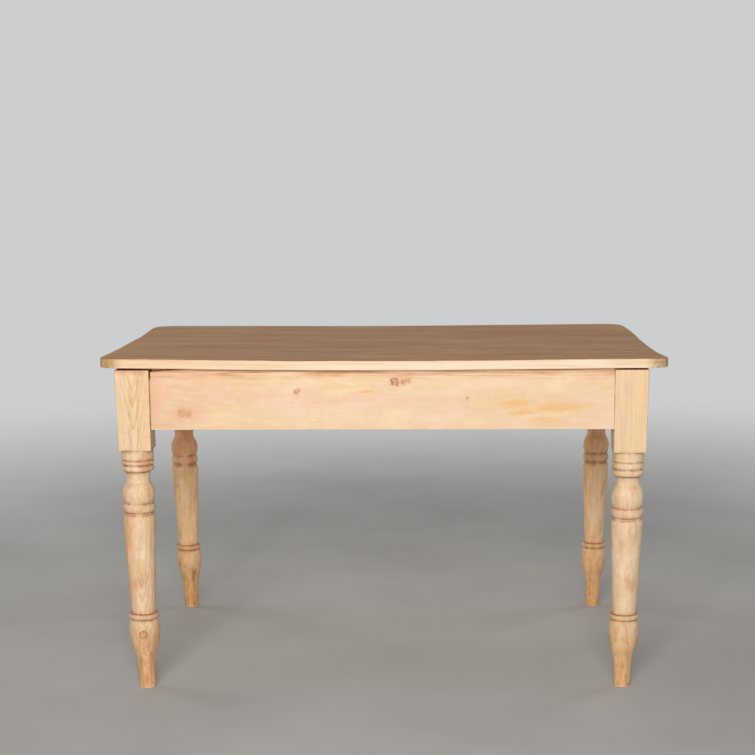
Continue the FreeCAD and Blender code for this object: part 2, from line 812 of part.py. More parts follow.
def set_in_end(piece, side, height="0"):
    # Turn the drawer to face its own end and bring its face to the end rails
    turn = 0 if side == "right" else 180
    piece.Placement = FreeCAD.Placement(
        FreeCAD.Vector(0, 0, 0), FreeCAD.Rotation(FreeCAD.Vector(0, 0, 1), turn)
    )
    return keep(place(piece, f"{side_sign[side]} * {end_face_x(side)}", "0", height))


def drawer(side):
    name = f"drawer_{side}"
    # Turning a drawer end for end swaps which of its sides lies to the front of the table
    outward = {row: row_sign[row] * side_sign[side] for row in row_sign}

    tails = {}
    pins = {}
    for row in row_sign:
        outer_y = drawer_half_width if outward[row] > 0 else f"-{side_inner_y}"
        tails[row] = []
        for number, share in enumerate(tail_place_shares, start=1):
            tail = flared(
                f"{name}_tail_{row}_{number}", flare_along_x,
                "sizes.drawer_side_thickness", "sizes.drawer_front_thickness - sizes.dovetail_lap",
                "sizes.tail_root_width", "sizes.tail_end_width",
            )
            tails[row].append(place(tail, front_back_x, outer_y, place_along(share, drawer_foot, drawer_top)))
        pins[row] = []
        for number, share in enumerate(pin_place_shares, start=1):
            pin = flared(
                f"{name}_pin_{row}_{number}", flare_along_x,
                "sizes.drawer_side_thickness", "sizes.drawer_back_thickness",
                "sizes.pin_end_width", "sizes.pin_root_width",
            )
            pins[row].append(place(pin, drawer_rear_x, outer_y, place_along(share, back_foot, back_top)))

    front = bar(
        f"{name}_front_board",
        (front_back_x, "0"),
        (f"-{drawer_half_width}", drawer_half_width),
        (drawer_front_foot, drawer_top),
    )
    front_groove = bar(
        f"{name}_front_groove",
        (f"{front_back_x} - sizes.cut_overrun", groove_front_x),
        (f"-{groove_end_y}", groove_end_y),
        groove_z,
    )
    knob_hole = doc.addObject("Part::Cylinder", f"{name}_knob_hole")
    knob_hole.Placement = FreeCAD.Placement(
        FreeCAD.Vector(0, 0, 0), FreeCAD.Rotation(FreeCAD.Vector(0, 1, 0), 90)
    )
    bind(knob_hole, {
        "Radius": "sizes.knob_spigot_diameter / 2 + sizes.fastener_clearance",
        "Height": "sizes.drawer_front_thickness + 2 * sizes.cut_overrun",
    })
    place(knob_hole, f"{front_back_x} - sizes.cut_overrun", "0", knob_height)
    sockets = [tail for row in row_sign for tail in tails[row]]
    set_in_end(cut(f"{name}_front", front, sockets + [front_groove, knob_hole]), side)

    knob = doc.addObject("PartDesign::Body", f"{name}_knob")
    profile = new_sketch(knob, f"{name}_knob_profile", "XZ_Plane")
    outline(profile, knob_outline())
    turning = knob.newObject("PartDesign::Revolution", f"{name}_knob_turning")
    turning.Profile = profile
    turning.ReferenceAxis = (profile, ["H_Axis"])
    turning.Angle = 360
    set_in_end(knob, side, knob_height)

    for row in row_sign:
        board = bar(
            f"{name}_side_{row}_board",
            (drawer_rear_x, front_back_x),
            flip((side_inner_y, drawer_half_width), outward[row]),
            (drawer_foot, drawer_top),
        )
        groove = bar(
            f"{name}_side_{row}_groove",
            (f"{drawer_rear_x} - sizes.cut_overrun", groove_front_x),
            flip((f"{side_inner_y} - sizes.cut_overrun", groove_end_y), outward[row]),
            groove_z,
        )
        tailed = join(f"{name}_side_{row}_tailed", [board] + tails[row])
        set_in_end(cut(f"{name}_side_{row}", tailed, [groove] + pins[row]), side)

    nails = []
    nail_holes = []
    for number, share in enumerate(bottom_nail_shares, start=1):
        spot = (f"({drawer_rear_x} + {back_face_x}) / 2", f"{share} * {side_inner_y}", bottom_foot)
        nail_name = f"{name}_bottom_nail_{number}"
        nails.append(rod(nail_name, *spot, "sizes.nail_diameter", "sizes.bottom_nail_length"))
        hole_spot = (spot[0], spot[1], f"{bottom_foot} - sizes.cut_overrun")
        hole_diameter = "sizes.nail_diameter + 2 * sizes.fastener_clearance"
        hole_length = "sizes.bottom_nail_length + sizes.cut_overrun"
        nail_holes.append(rod(f"{nail_name}_hole", *hole_spot, hole_diameter, hole_length))
    set_in_end(group(f"{name}_nails", nails), side)

    back_board = bar(
        f"{name}_back_board",
        (drawer_rear_x, back_face_x),
        (f"-{side_inner_y}", side_inner_y),
        (back_foot, back_top),
    )
    all_pins = [pin for row in row_sign for pin in pins[row]]
    set_in_end(cut(f"{name}_back", join(f"{name}_back_pinned", [back_board] + all_pins), nail_holes), side)

    panel_half_width = f"({groove_end_y} - sizes.joint_clearance)"
    panel = bar(
        f"{name}_bottom_panel",
        (drawer_rear_x, f"{groove_front_x} - sizes.joint_clearance"),
        (f"-{panel_half_width}", panel_half_width),
        (bottom_foot, bottom_top),
    )
    set_in_end(cut(f"{name}_bottom", panel, nail_holes), side)


for side in side_sign:
    drawer(side)

doc.recompute()
failed = [item.Name for item in doc.Objects if "Invalid" in item.State or "Error" in item.State]
failed += [piece.Name for piece in nodes if piece.Shape.isNull() or not piece.Shape.isValid()]
if failed:
    raise RuntimeError("These did not build: " + ", ".join(failed))

os.makedirs("parts", exist_ok=True)
for piece in nodes:
    piece.Shape.exportStep(os.path.join("parts", f"{piece.Label}.step"))
    print(piece.Label, len(piece.Shape.Solids), round(piece.Shape.Volume))
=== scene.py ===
import bpy
import bmesh
import math
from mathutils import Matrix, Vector, noise


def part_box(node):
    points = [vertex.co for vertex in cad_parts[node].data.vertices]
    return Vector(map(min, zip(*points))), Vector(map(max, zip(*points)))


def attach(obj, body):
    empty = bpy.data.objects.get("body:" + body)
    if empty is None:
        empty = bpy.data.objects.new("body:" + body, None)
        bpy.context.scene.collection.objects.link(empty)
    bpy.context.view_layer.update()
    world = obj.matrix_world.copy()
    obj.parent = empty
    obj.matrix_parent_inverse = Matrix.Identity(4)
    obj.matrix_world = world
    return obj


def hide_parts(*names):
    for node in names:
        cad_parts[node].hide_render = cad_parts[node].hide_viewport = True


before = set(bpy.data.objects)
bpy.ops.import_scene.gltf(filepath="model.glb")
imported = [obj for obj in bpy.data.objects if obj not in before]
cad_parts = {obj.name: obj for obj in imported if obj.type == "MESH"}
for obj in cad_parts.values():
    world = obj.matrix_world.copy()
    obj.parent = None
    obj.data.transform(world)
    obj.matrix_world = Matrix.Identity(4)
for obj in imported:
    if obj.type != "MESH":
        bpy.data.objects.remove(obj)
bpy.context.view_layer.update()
mm = 0.001


class Sock:
    # one node socket, so that shader sums read as plain Python
    def __init__(self, finish, out):
        self.finish = finish
        self.out = out

    def work(self, operation, first, second):
        kinds = [term.out.type for term in (first, second) if isinstance(term, Sock)]
        if "RGBA" in kinds:
            return self.finish.mix(1, first, second, operation)
        maths = "ShaderNodeVectorMath" if "VECTOR" in kinds else "ShaderNodeMath"
        return self.finish.node(maths, {"operation": operation}, {0: first, 1: second})

    def __add__(self, other):
        return self.work("ADD", self, other)

    def __radd__(self, other):
        return self.work("ADD", other, self)

    def __sub__(self, other):
        return self.work("SUBTRACT", self, other)

    def __rsub__(self, other):
        return self.work("SUBTRACT", other, self)

    def __mul__(self, other):
        return self.work("MULTIPLY", self, other)

    def __rmul__(self, other):
        return self.work("MULTIPLY", other, self)

    def __truediv__(self, other):
        return self.work("DIVIDE", self, other)

    def __rtruediv__(self, other):
        return self.work("DIVIDE", other, self)

    def __pow__(self, other):
        return self.work("POWER", self, other)

    def __abs__(self):
        return self.only("ABSOLUTE")

    def only(self, operation):        # sums on one value, such as FRACT or SQRT
        return self.finish.node("ShaderNodeMath", {"operation": operation}, {0: self})

    def rise(self, low, high):        # 0 at low, 1 at high, eased between; low may be the larger
        sockets = {"Value": self, "From Min": low, "From Max": high}
        return self.finish.node("ShaderNodeMapRange", {"interpolation_type": "SMOOTHSTEP"}, sockets)

    def gap(self, point):             # distance of a place from a point
        settings = {"operation": "DISTANCE"}
        return self.finish.node("ShaderNodeVectorMath", settings, {0: self, 1: point}, "Value")

    def bigger(self, other):
        return self.work("MAXIMUM", self, other)

    def parts(self, *names):          # other outputs of the same node, all of them if none is named
        outputs = self.out.node.outputs
        return [Sock(self.finish, outputs[name]) for name in (names or range(len(outputs)))]


class Finish:
    # the nodes of a material or of the world
    def __init__(self, owner):
        owner.use_nodes = True
        self.owner = owner
        self.tree = owner.node_tree
        self.shader = self.tree.nodes.get("Principled BSDF")

    def fill(self, socket, value):
        if isinstance(value, Sock):
            self.tree.links.new(value.out, socket)
        elif isinstance(value, (int, float)) and socket.type in ("RGBA", "VECTOR"):
            socket.default_value = [value] * len(socket.default_value)
        else:
            socket.default_value = value

    def node(self, kind, settings=None, sockets=None, output=0):
        made = self.tree.nodes.new(kind)
        for name, value in (settings or {}).items():
            setattr(made, name, value)
        for key, value in (sockets or {}).items():
            self.fill(made.inputs[key], value)
        return Sock(self, made.outputs[output])

    def mix(self, share, first, second, blend="MIX"):
        settings = {"data_type": "RGBA", "blend_type": blend}
        return self.node("ShaderNodeMix", settings, {0: share, 6: first, 7: second}, 2)

    def point(self, x, y, z):
        return self.node("ShaderNodeCombineXYZ", None, {0: x, 1: y, 2: z})

    def clouds(self, place, detail=2.0, output="Fac"):
        sockets = {"Vector": place, "Scale": 1, "Detail": detail}
        return self.node("ShaderNodeTexNoise", None, sockets, output)

    def wear(self, base, roughness, height, relief, gloss=0.25):
        self.shader.inputs["Specular IOR Level"].default_value = gloss
        bump = {"Strength": 0.7, "Distance": relief, "Height": height}
        normal = self.node("ShaderNodeBump", None, bump)
        for name, value in (("Base Color", base), ("Roughness", roughness), ("Normal", normal)):
            self.fill(self.shader.inputs[name], value)
        return self.owner


def tone(red, green, blue):
    # a colour as a screen shows it, 0 to 255, as the shader's linear values
    shares = [level / 255 for level in (red, green, blue)]
    return tuple(((share + 0.055) / 1.055) ** 2.4 for share in shares) + (1.0,)


# stripped and waxed pine, the start of every wooden finish
barePine = {
    "grain": "x",
    "seed": 0.0,
    "pith": (0.0, -0.12),        # where the heart of the tree lay, across the grain
    "ring": 4.5 * mm,            # a year's growth
    "wander": 16 * mm,           # how far the rings stray
    "taper": 0.012,              # drift of the rings along the grain
    "lean": 0.0,                 # sideways run of the grain along the piece
    "pale": tone(240, 209, 172),
    "late": tone(206, 144, 98),
    "lateShare": 0.45,
    "lateThin": 3.0,             # higher for finer dark lines
    "lateFade": None,            # two spans along the grain, past which the rings show fully
    "lateReach": None,           # how far from the heart the rings stay clear
    "ragged": 2.2,               # how uneven the knots are
    "streak": tone(226, 178, 132),
    "streakShare": 0.4,
    "pink": tone(240, 197, 163),
    "pinkShare": 0.55,
    "straw": tone(238, 203, 150),
    "strawShare": 0.5,
    "cloudy": 0.0,               # soft pink and cream clouds
    "blush": tone(247, 213, 187),
    "cream": tone(246, 219, 178),
    "mottle": 0.08,
    "fibre": 0.2,                # contrast of the fine lines
    "flecks": 0.4,               # short brown dashes
    "fleckTone": tone(176, 118, 78),
    "endTone": tone(208, 184, 156),
    "arris": 0.5,                # paler wood at the corners: wear, and painted highlight where the eased corners catch the light
    "arrisTone": tone(250, 226, 192),
    "arrisFrom": None,           # height above which the corners turn paler
    "rough": 0.52,
    "gloss": 0.25,
    "relief": 0.35 * mm,
    "knots": (),                 # place, radius, strength, and how clear its dark rim is
    "knotHalo": tone(232, 172, 136),
    "knotCore": tone(188, 132, 98),
    "knotRim": tone(142, 90, 64),
    "wormHole": tone(112, 74, 50),
    "slowWaves": (1.1, 3.1, 3.1),        # waves per metre along, across and through the grain
    "fibreWaves": (9, 520, 520),
    "streakWaves": (1.9, 64, 64),
    "pinkWaves": (3.1, 17, 17),
    "strawWaves": (2.3, 11, 11),
    "cloudWaves": (8, 10, 25),
    "dashWaves": (34, 260, 260),
    "raggedWaves": 150.0,
    "blotchWaves": 62.0,
    "patchWaves": 310.0,
    "holesPerMetre": 34,
}


def pine(name, look, overlay=None):
    wood = Finish(bpy.data.materials.new(name))
    facing, spot = wood.node("ShaderNodeTexCoord").parts("Normal", "Object")
    place = wood.node("ShaderNodeSeparateXYZ", None, {0: spot}).parts()
    turns = wood.node("ShaderNodeSeparateXYZ", None, {0: facing}).parts()
    order = {"x": (0, 1, 2), "y": (1, 0, 2), "z": (2, 0, 1)}[look["grain"]]
    along, across, inward = [place[index] for index in order]
    seed = look["seed"]
    wander = look["wander"]

    def grained(kind, *shifts):
        # place in waves per metre of this kind, shifted along, across and through the grain
        parts = [part * count for part, count in zip((along, across, inward), look[f"{kind}Waves"])]
        for index, shift in enumerate(shifts):
            if shift:
                parts[index] = parts[index] + shift
        return wood.point(*parts)

    # growth rings round the pith, pushed aside by knots
    slow = wood.clouds(grained("slow", seed, 0, seed), 2.0, "Color")
    waves = wood.node("ShaderNodeSeparateColor", None, {0: slow}).parts()
    sideways = across + along * look["lean"] - look["pith"][0] + (waves[0] - 0.5) * wander
    depth = inward - look["pith"][1] + (waves[1] - 0.5) * wander
    heart = (sideways * sideways + depth * depth).only("SQRT")
    reach = heart + along * look["taper"]
    ragged = wood.clouds(spot * look["raggedWaves"], 3.0) - 0.5
    knots = []
    for middle, radius, strength, rim in look["knots"]:
        near = spot.gap(tuple(part * mm for part in middle)) / (radius * mm) + ragged * look["ragged"]
        knots.append((near, strength, rim))
        reach = reach + near.rise(3.4, 0.2) * (radius * 1.3 * mm)
    rings = reach / look["ring"]
    rings = rings + wood.clouds(wood.point(rings * 0.31, seed, 0.0), 1.0) * 1.6
    saw = rings.only("FRACT")
    late = saw ** look["lateThin"] * saw.rise(1.0, 0.9)
    fibre = wood.clouds(grained("fibre"), 2.0)
    streak = wood.clouds(grained("streak", seed), 3.0)
    pinker = wood.clouds(grained("pink", seed), 3.0)
    straw = wood.clouds(grained("straw", 0, seed), 3.0)
    blotch = wood.clouds(spot * look["blotchWaves"], 3.0)
    share = (streak + 0.4) * look["lateShare"]
    if look["lateFade"]:
        upper, lower = [along.rise(*span) for span in look["lateFade"]]
        share = share * (upper.bigger(lower) * 0.85 + 0.15)
    if look["lateReach"]:
        share = share * (heart.rise(look["lateReach"] * 2, look["lateReach"] * 0.5) * 0.8 + 0.2)
    base = wood.mix(pinker.rise(0.45, 0.66) * look["pinkShare"], look["pale"], look["pink"])
    base = wood.mix(straw.rise(0.46, 0.7) * look["strawShare"], base, look["straw"])
    if look["cloudy"]:
        clouded = wood.clouds(grained("cloud", seed), 4.0)
        base = wood.mix(clouded.rise(0.48, 0.66) * look["cloudy"], base, look["blush"])
        base = wood.mix(clouded.rise(0.48, 0.32) * look["cloudy"], base, look["cream"])
    base = wood.mix(streak.rise(0.5, 0.74) * look["streakShare"], base, look["streak"])
    base = wood.mix(late * share, base, look["late"])
    base = base * ((fibre - 0.5) * look["fibre"] + 1) * ((blotch - 0.5) * (look["mottle"] * 2) + 1)
    dashes = wood.node("ShaderNodeTexVoronoi", None, {"Vector": grained("dash")})
    flecks = dashes.rise(0.2, 0.08) * blotch.rise(0.45, 0.62) * look["flecks"]
    base = wood.mix(flecks, base, look["fleckTone"])
    endGrain = abs(turns[order[0]]).rise(0.4, 0.95)
    base = wood.mix(endGrain, base, look["endTone"], "MULTIPLY")
    patches = wood.clouds(spot * look["patchWaves"], 2.0).rise(0.34, 0.6) * 0.6 + 0.4
    for near, strength, rim in knots:
        base = wood.mix(near.rise(2.7, 0.7) * strength * 0.5, base, look["knotHalo"])
        base = wood.mix(near.rise(1.35, 0.6) * patches * strength * 0.8, base, look["knotCore"])
        edge = near.rise(0.45, 0.8) * near.rise(1.3, 0.85)
        base = wood.mix(edge * patches * rim, base, look["knotRim"])
        base = wood.mix(near.rise(0.35, 0.05) * patches * strength * 0.6, base, look["knotRim"])
    # paler corners, where the normal leans off the axes: wear, and painted highlight on the eased corners
    flat = abs(turns[0]).bigger(abs(turns[1])).bigger(abs(turns[2]))
    arris = flat.rise(0.985, 0.84) * look["arris"]
    if look["arrisFrom"]:
        arris = arris * place[2].rise(look["arrisFrom"] - 1 * mm, look["arrisFrom"] + 1 * mm)
    base = wood.mix(arris * blotch.rise(0.3, 0.55), base, look["arrisTone"])
    if overlay:
        base = overlay(wood, base, place, turns)
    cells = wood.node("ShaderNodeTexVoronoi", None, {"Vector": spot, "Scale": look["holesPerMetre"]})
    holes = cells.rise(0.03, 0.022)
    base = wood.mix(holes * 0.7, base, look["wormHole"])
    roughness = (straw - 0.5) * 0.3 + look["rough"] - late * 0.08
    height = fibre * 0.45 + late * 0.55 - holes * 2
    return wood.wear(base, roughness, height, look["relief"], look["gloss"])


frontFace = (-330 * mm, -360 * mm)        # smudges fade in between these two depths


def smudges(wood, base, place, spots, colour, uneven):
    # soft patches on the front: mm along, mm up, half length, half height and strength
    x, y, z = place
    for middle, level, long, high, strength in spots:
        flat = wood.point(x / (long * mm), 0.0, z / (high * mm))
        near = flat.gap((middle / long, 0.0, level / high)) + (uneven - 0.5) * 1.8
        base = wood.mix(near.rise(1.25, 0.1) * strength * y.rise(*frontFace), base, colour)
    return base


# old iron of the screws and nails
ironLook = {"bare": tone(92, 88, 84), "rust": tone(104, 66, 44), "rough": 0.55, "relief": 0.2 * mm}


def iron(name, look):
    metal = Finish(bpy.data.materials.new(name))
    spot, = metal.node("ShaderNodeTexCoord").parts("Object")
    pits = metal.clouds(spot * 420.0, 4.0)
    rust = metal.clouds(spot * 90.0, 3.0).rise(0.45, 0.65)
    base = metal.mix(rust, look["bare"], look["rust"])
    metal.fill(metal.shader.inputs["Metallic"], 0.9 - rust * 0.8)
    return metal.wear(base, rust * 0.3 + look["rough"], pits, look["relief"])


def makeObject(name, data):
    made = bpy.data.objects.new(name, data)
    bpy.context.collection.objects.link(made)
    return made


def meshObject(name, points, faces):
    mesh = bpy.data.meshes.new(name)
    mesh.from_pydata([tuple(point) for point in points], [], faces)
    mesh.validate()
    mesh.update()
    return makeObject(name, mesh)


def dress(piece, node, body, material):
    # smooth shading that leaves the broad faces flat, then the piece takes the node's place
    piece.data.shade_smooth()
    even = piece.modifiers.new("evenFaces", "WEIGHTED_NORMAL")
    even.weight = 90
    piece.data.materials.clear()
    piece.data.materials.append(material)
    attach(piece, body)
    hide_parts(node)


def wave(*place):
    return noise.noise(Vector(place))


def between(low, high, count):
    return [low + (high - low) * index / count for index in range(count + 1)]


def through(values, share):
    # smooth curve through evenly spaced values
    last = len(values) - 1
    place = min(max(share, 0), 1) * last
    index = min(int(place), last - 1)
    rest = place - index
    before = values[max(index - 1, 0)]
    first = values[index]
    second = values[index + 1]
    after = values[min(index + 2, last)]
    bend = 2 * before - 5 * first + 4 * second - after
    twist = 3 * (first - second) + after - before
    return first + 0.5 * rest * (second - before + rest * (bend + rest * twist))


# the three boards of the top
topLook = {
    "offset": 5 * mm,             # the old top has crept to the right on its frame
    "frontCorners": (36 * mm, 40 * mm),        # left and right
    "backCorners": (48 * mm, 40 * mm),
    "upperWear": 3.2 * mm,        # rounding of the upper edge
    "cornerWear": 0.6,            # share by which the corners are worn rounder still
    "lowerWear": 1.6 * mm,
    "seamWear": 0.7 * mm,
    "tongueLong": 9 * mm,
    "tongueThick": 7 * mm,
    "tongueRoom": 0.4 * mm,
    "ripple": 0.5 * mm,           # unevenness of the long edges
    "rippleReach": 12 * mm,
    "cornerReach": 90 * mm,
    "trimPower": 6,               # higher keeps the trims nearer to the ends
    "endTrims": (                 # mm missing from the left and right ends, front to back
        (0, 0, 0, 0, 0, 0, 0, 1, 4, 1.5, 0, -1, -1),
        (-4, 4, 7.6, 7.8, 7.4, 7.2, 7, 6.6, 6.4, 7, 9, 12.5, 17),
    ),
    "columns": 110,
    "rows": 12,
    "warp": (                     # mm up or down, left to right, front row first
        (4.4, 0.4, -1.4, 0.6, 3.4),
        (-1.0, -1.0, -0.6, -1.0, -2.2),
        (-1.4, -1.2, -1.0, -0.8, -2.2),
        (0.2, -0.2, -0.6, 1.8, 4.0),
    ),
    "faceWaxAndShadeTone": tone(187, 138, 94),        # scrubbed and waxed, browner than its edges, and darker also as painted shade for the dimmer light on the top face
    "stainTone": tone(150, 105, 67),
    "brightTone": tone(203, 155, 111),
    "arrisTone": tone(140, 92, 56),
    "edgeTone": tone(249, 231, 204),
    "edgeWarmTone": tone(246, 216, 178),
    "edgeStreakTone": tone(234, 180, 122),
    "cornerTone": tone(172, 136, 82),
    "speckTone": tone(130, 98, 66),
    "seamTone": tone(96, 68, 44),
    "wood": {"wander": 34 * mm, "arris": 0.0, "gloss": 0.12, "rough": 0.6, "mottle": 0.05},
    "boards": (
        ("top_board_front", {"seed": 1.3, "pith": (-0.24, 0.62), "ring": 5.5 * mm, "taper": 0.02}),
        ("top_board_middle", {"seed": 4.7, "pith": (0.03, 0.60), "ring": 6 * mm, "taper": -0.015}),
        ("top_board_back", {"seed": 8.2, "pith": (0.33, 0.92), "ring": 5 * mm, "taper": 0.018}),
    ),
}
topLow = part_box("top_board_front")[0]
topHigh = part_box("top_board_back")[1]
halfLength = (topHigh.x - topLow.x) / 2
halfDepth = (topHigh.y - topLow.y) / 2


def topLift(x, y):
    rows = [through(row, (x / halfLength + 1) / 2) for row in topLook["warp"]]
    return through(rows, (y / halfDepth + 1) / 2) * mm


def cornerRadius(x, y):
    return topLook["frontCorners" if y < 0 else "backCorners"][0 if x < 0 else 1]


def topReach(y, side):
    # how far the top reaches to the left (-1) or right (1) at this depth, less in the rounded corners
    radius = cornerRadius(side, y)
    past = abs(y) - (halfDepth - radius)
    if past <= 0:
        return halfLength
    return halfLength - radius + math.sqrt(max(radius * radius - past * past, 0))


def topInset(x, y):
    # distance in from the outline of the whole top
    radius = cornerRadius(x, y)
    pastX = abs(x) - (halfLength - radius)
    pastY = abs(y) - (halfDepth - radius)
    if pastX > 0 and pastY > 0:
        return radius - math.hypot(pastX, pastY)
    return min(halfLength - abs(x), halfDepth - abs(y))


def fall(inset, radius):
    # drop of a rounded edge this far in from it
    if inset >= radius:
        return 0
    return radius - math.sqrt(max(radius * radius - (radius - inset) ** 2, 0))


def topRows(near, far):
    wear = topLook["upperWear"]
    edgeSteps = [wear * share for share in (0, 0.1, 0.3, 0.6, 1, 1.6)]
    rows = between(near, far, topLook["rows"])
    for edge, inward, corners in ((-halfDepth, 1, "frontCorners"), (halfDepth, -1, "backCorners")):
        if edge in (near, far):
            radius = max(topLook[corners])
            rows += [edge + inward * step for step in edgeSteps]
            turns = between(0.3, math.pi / 2, 7)
            rows += [edge + inward * radius * (1 - math.cos(turn)) for turn in turns]
        else:
            joint = near if inward > 0 else far
            rows += [joint + inward * topLook["seamWear"] * share for share in (0.4, 1)]
    kept = []
    for row in sorted(rows):
        if not kept or row - kept[-1] > 0.15 * mm:
            kept.append(row)
    kept[-1] = far
    return kept


def topColumns(y):
    left, right = [topReach(y, side) for side in (-1, 1)]
    wear = topLook["upperWear"]
    steps = [wear * share for share in (0, 0.1, 0.3, 0.6, 1)]
    inner = between(-left + wear * 1.6, right - wear * 1.6, topLook["columns"])
    return [-left + step for step in steps] + inner + [right - step for step in reversed(steps)]


def topBoard(name, node, near, far, material):
    rows = topRows(near, far)
    grid = [[(x, y) for x in topColumns(y)] for y in rows]
    joints = [edge for edge in (near, far) if abs(edge) < halfDepth - mm]
    points = []
    upper = []
    lower = []

    def put(x, y, z):
        free = halfDepth - abs(y) < topLook["rippleReach"]
        ripple = wave(x * 5, y, 3.1) * topLook["ripple"] if free else 0
        side = 1 if x > 0 else -1
        trim = through(topLook["endTrims"][x > 0], (y / halfDepth + 1) / 2) * mm
        trim *= abs(x / halfLength) ** topLook["trimPower"]
        points.append((x + topLook["offset"] - side * trim, y + ripple, z + topLift(x, y)))
        return len(points) - 1

    for line in grid:
        upper.append([])
        lower.append([])
        for x, y in line:
            inset = topInset(x, y)
            toJoint = min([abs(y - joint) for joint in joints])
            uneven = 1 + 0.45 * wave(x * 9, y * 9, 0.7) + 0.3 * wave(x * 42, y * 42, 2.3)
            fromCorner = math.hypot(halfLength - abs(x), halfDepth - abs(y))
            corner = 1 + topLook["cornerWear"] * max(0, 1 - fromCorner / topLook["cornerReach"])
            seam = fall(toJoint, topLook["seamWear"])
            top = max(fall(inset, topLook["upperWear"] * uneven * corner), seam)
            under = max(fall(inset, topLook["lowerWear"] * uneven), seam)
            upper[-1].append(put(x, y, topHigh.z - top))
            lower[-1].append(put(x, y, topLow.z + under))
    faces = []
    last = len(rows) - 1
    for i in range(last):
        for j in range(len(grid[0]) - 1):
            faces.append((upper[i][j], upper[i][j + 1], upper[i + 1][j + 1], upper[i + 1][j]))
            faces.append((lower[i][j], lower[i + 1][j], lower[i + 1][j + 1], lower[i][j + 1]))
    # long edges: plain where they are free, tongued or grooved where boards meet
    middle = (topLow.z + topHigh.z) / 2
    profiles = {}
    for i, edge, outward in ((0, near, -1), (last, far, 1)):
        strips = [upper[i]]
        if edge in joints:
            room = 0 if outward < 0 else topLook["tongueRoom"]        # the groove is the looser of the two
            long = -outward * topLook["tongueLong"] - room
            half = topLook["tongueThick"] / 2 + room
            for out, level in ((0, half), (long, half), (long, -half), (0, -half)):
                strips.append([put(x, y + out * outward, middle + level) for x, y in grid[i]])
        strips.append(lower[i])
        profiles[i] = strips
        for first, second in zip(strips, strips[1:]):
            for j in range(len(first) - 1):
                face = (first[j], second[j], second[j + 1], first[j + 1])
                faces.append(face if outward < 0 else face[::-1])
    # ends of the board, with the tongue or groove in their outline
    deep = topLook["tongueLong"] * 1.4
    inner = [i for i in range(last + 1) if all(abs(rows[i] - joint) > deep for joint in joints)]
    for j, facing in ((0, 1), (-1, -1)):
        for i in range(inner[0], inner[-1]):
            face = (upper[i][j], upper[i + 1][j], lower[i + 1][j], lower[i][j])
            faces.append(face[::facing])
        for i, step in ((0, -1), (last, 1)):
            start = inner[0] if i == 0 else inner[-1]
            if start == i:
                continue
            path = range(start, i + step, step)
            rim = [upper[k][j] for k in path] + [strip[j] for strip in profiles[i][1:-1]]
            rim += [lower[k][j] for k in reversed(path)]
            faces.append(rim[::facing * step])
    dress(meshObject(name, points, faces), node, "table_frame", material)


def topPatinaAndShade(wood, base, place, turns):
    x, y, z = place
    face = turns[2].rise(0.3, 0.85)
    grey = wood.clouds(wood.point(x * 2.6, y * 24, 0.0), 4.0)
    broad = wood.clouds(wood.point(x * 3.5 + 5, y * 7, 0.0), 3.0)
    worn = wood.mix(grey.rise(0.44, 0.7) * 0.6, topLook["faceWaxAndShadeTone"], topLook["stainTone"])
    worn = wood.mix(broad.rise(0.46, 0.68) * 0.6, worn, topLook["brightTone"])
    scars = wood.clouds(wood.point(x * 16, y * 60, 3.0), 4.0)
    scarred = scars.rise(0.54, 0.68) * (x.rise(-0.1, 0.35) * 0.35 + 0.15)        # more to the right
    worn = wood.mix(scarred, worn, topLook["stainTone"])
    grain = wood.node("ShaderNodeRGBToBW", None, {0: base})
    worn = worn * ((grain / 0.64 - 1) * 1.1 + 1)
    for seam in boardEdges[1:-1]:
        worn = wood.mix(abs(y - seam).rise(1.8 * mm, 0.5 * mm) * 0.6, worn, topLook["seamTone"])
    edge = abs(turns[1]).rise(0.55, 0.9)
    stripe = wood.clouds(wood.point(x * 6, 0.0, z * 300), 4.0) + z.rise(topLow.z, topHigh.z) * 0.1
    pale = wood.mix(x.rise(-0.5, -0.05), topLook["edgeWarmTone"], topLook["edgeTone"])
    pale = wood.mix(stripe.rise(0.52, 0.72) * 0.7, pale, topLook["edgeStreakTone"])
    base = wood.mix(edge * 0.75, base, pale)
    specks = wood.clouds(wood.point(x * 420, y * 420, z * 420), 2.0)
    out = abs(x - topLook["offset"])
    corner = out.rise(halfLength - 60 * mm, halfLength - 16 * mm) * edge
    patchy = wood.clouds(wood.point(x * 130, y * 130, z * 210), 3.0).rise(0.32, 0.62)
    base = wood.mix(corner * (patchy * 0.45 + 0.45), base, topLook["cornerTone"])
    ends = corner.bigger(abs(turns[0]).rise(0.25, 0.75))
    base = wood.mix(ends * specks.rise(0.48, 0.68) * 0.45, base, topLook["speckTone"])
    # the upward faces take the face colour: scrubbed wax, darkened also as painted shade for the dimmer
    # light on top
    base = wood.mix(face * 0.9, base, worn)
    # dirt held along the worn upper edge
    chips = wood.clouds(wood.point(x * 5 + 2, y * 5, 0.0), 4.0)
    line = turns[2].rise(0.35, 0.6) * turns[2].rise(0.97, 0.85)
    return wood.mix(line * (chips.rise(0.42, 0.6) * 0.55 + 0.2), base, topLook["arrisTone"])


boardEdges = between(-halfDepth, halfDepth, len(topLook["boards"]))
for index, (node, look) in enumerate(topLook["boards"]):
    material = pine(f"{node}_wood", {**barePine, **topLook["wood"], **look}, topPatinaAndShade)
    topBoard(f"{node}_old", node, boardEdges[index], boardEdges[index + 1], material)
print("top boards made")


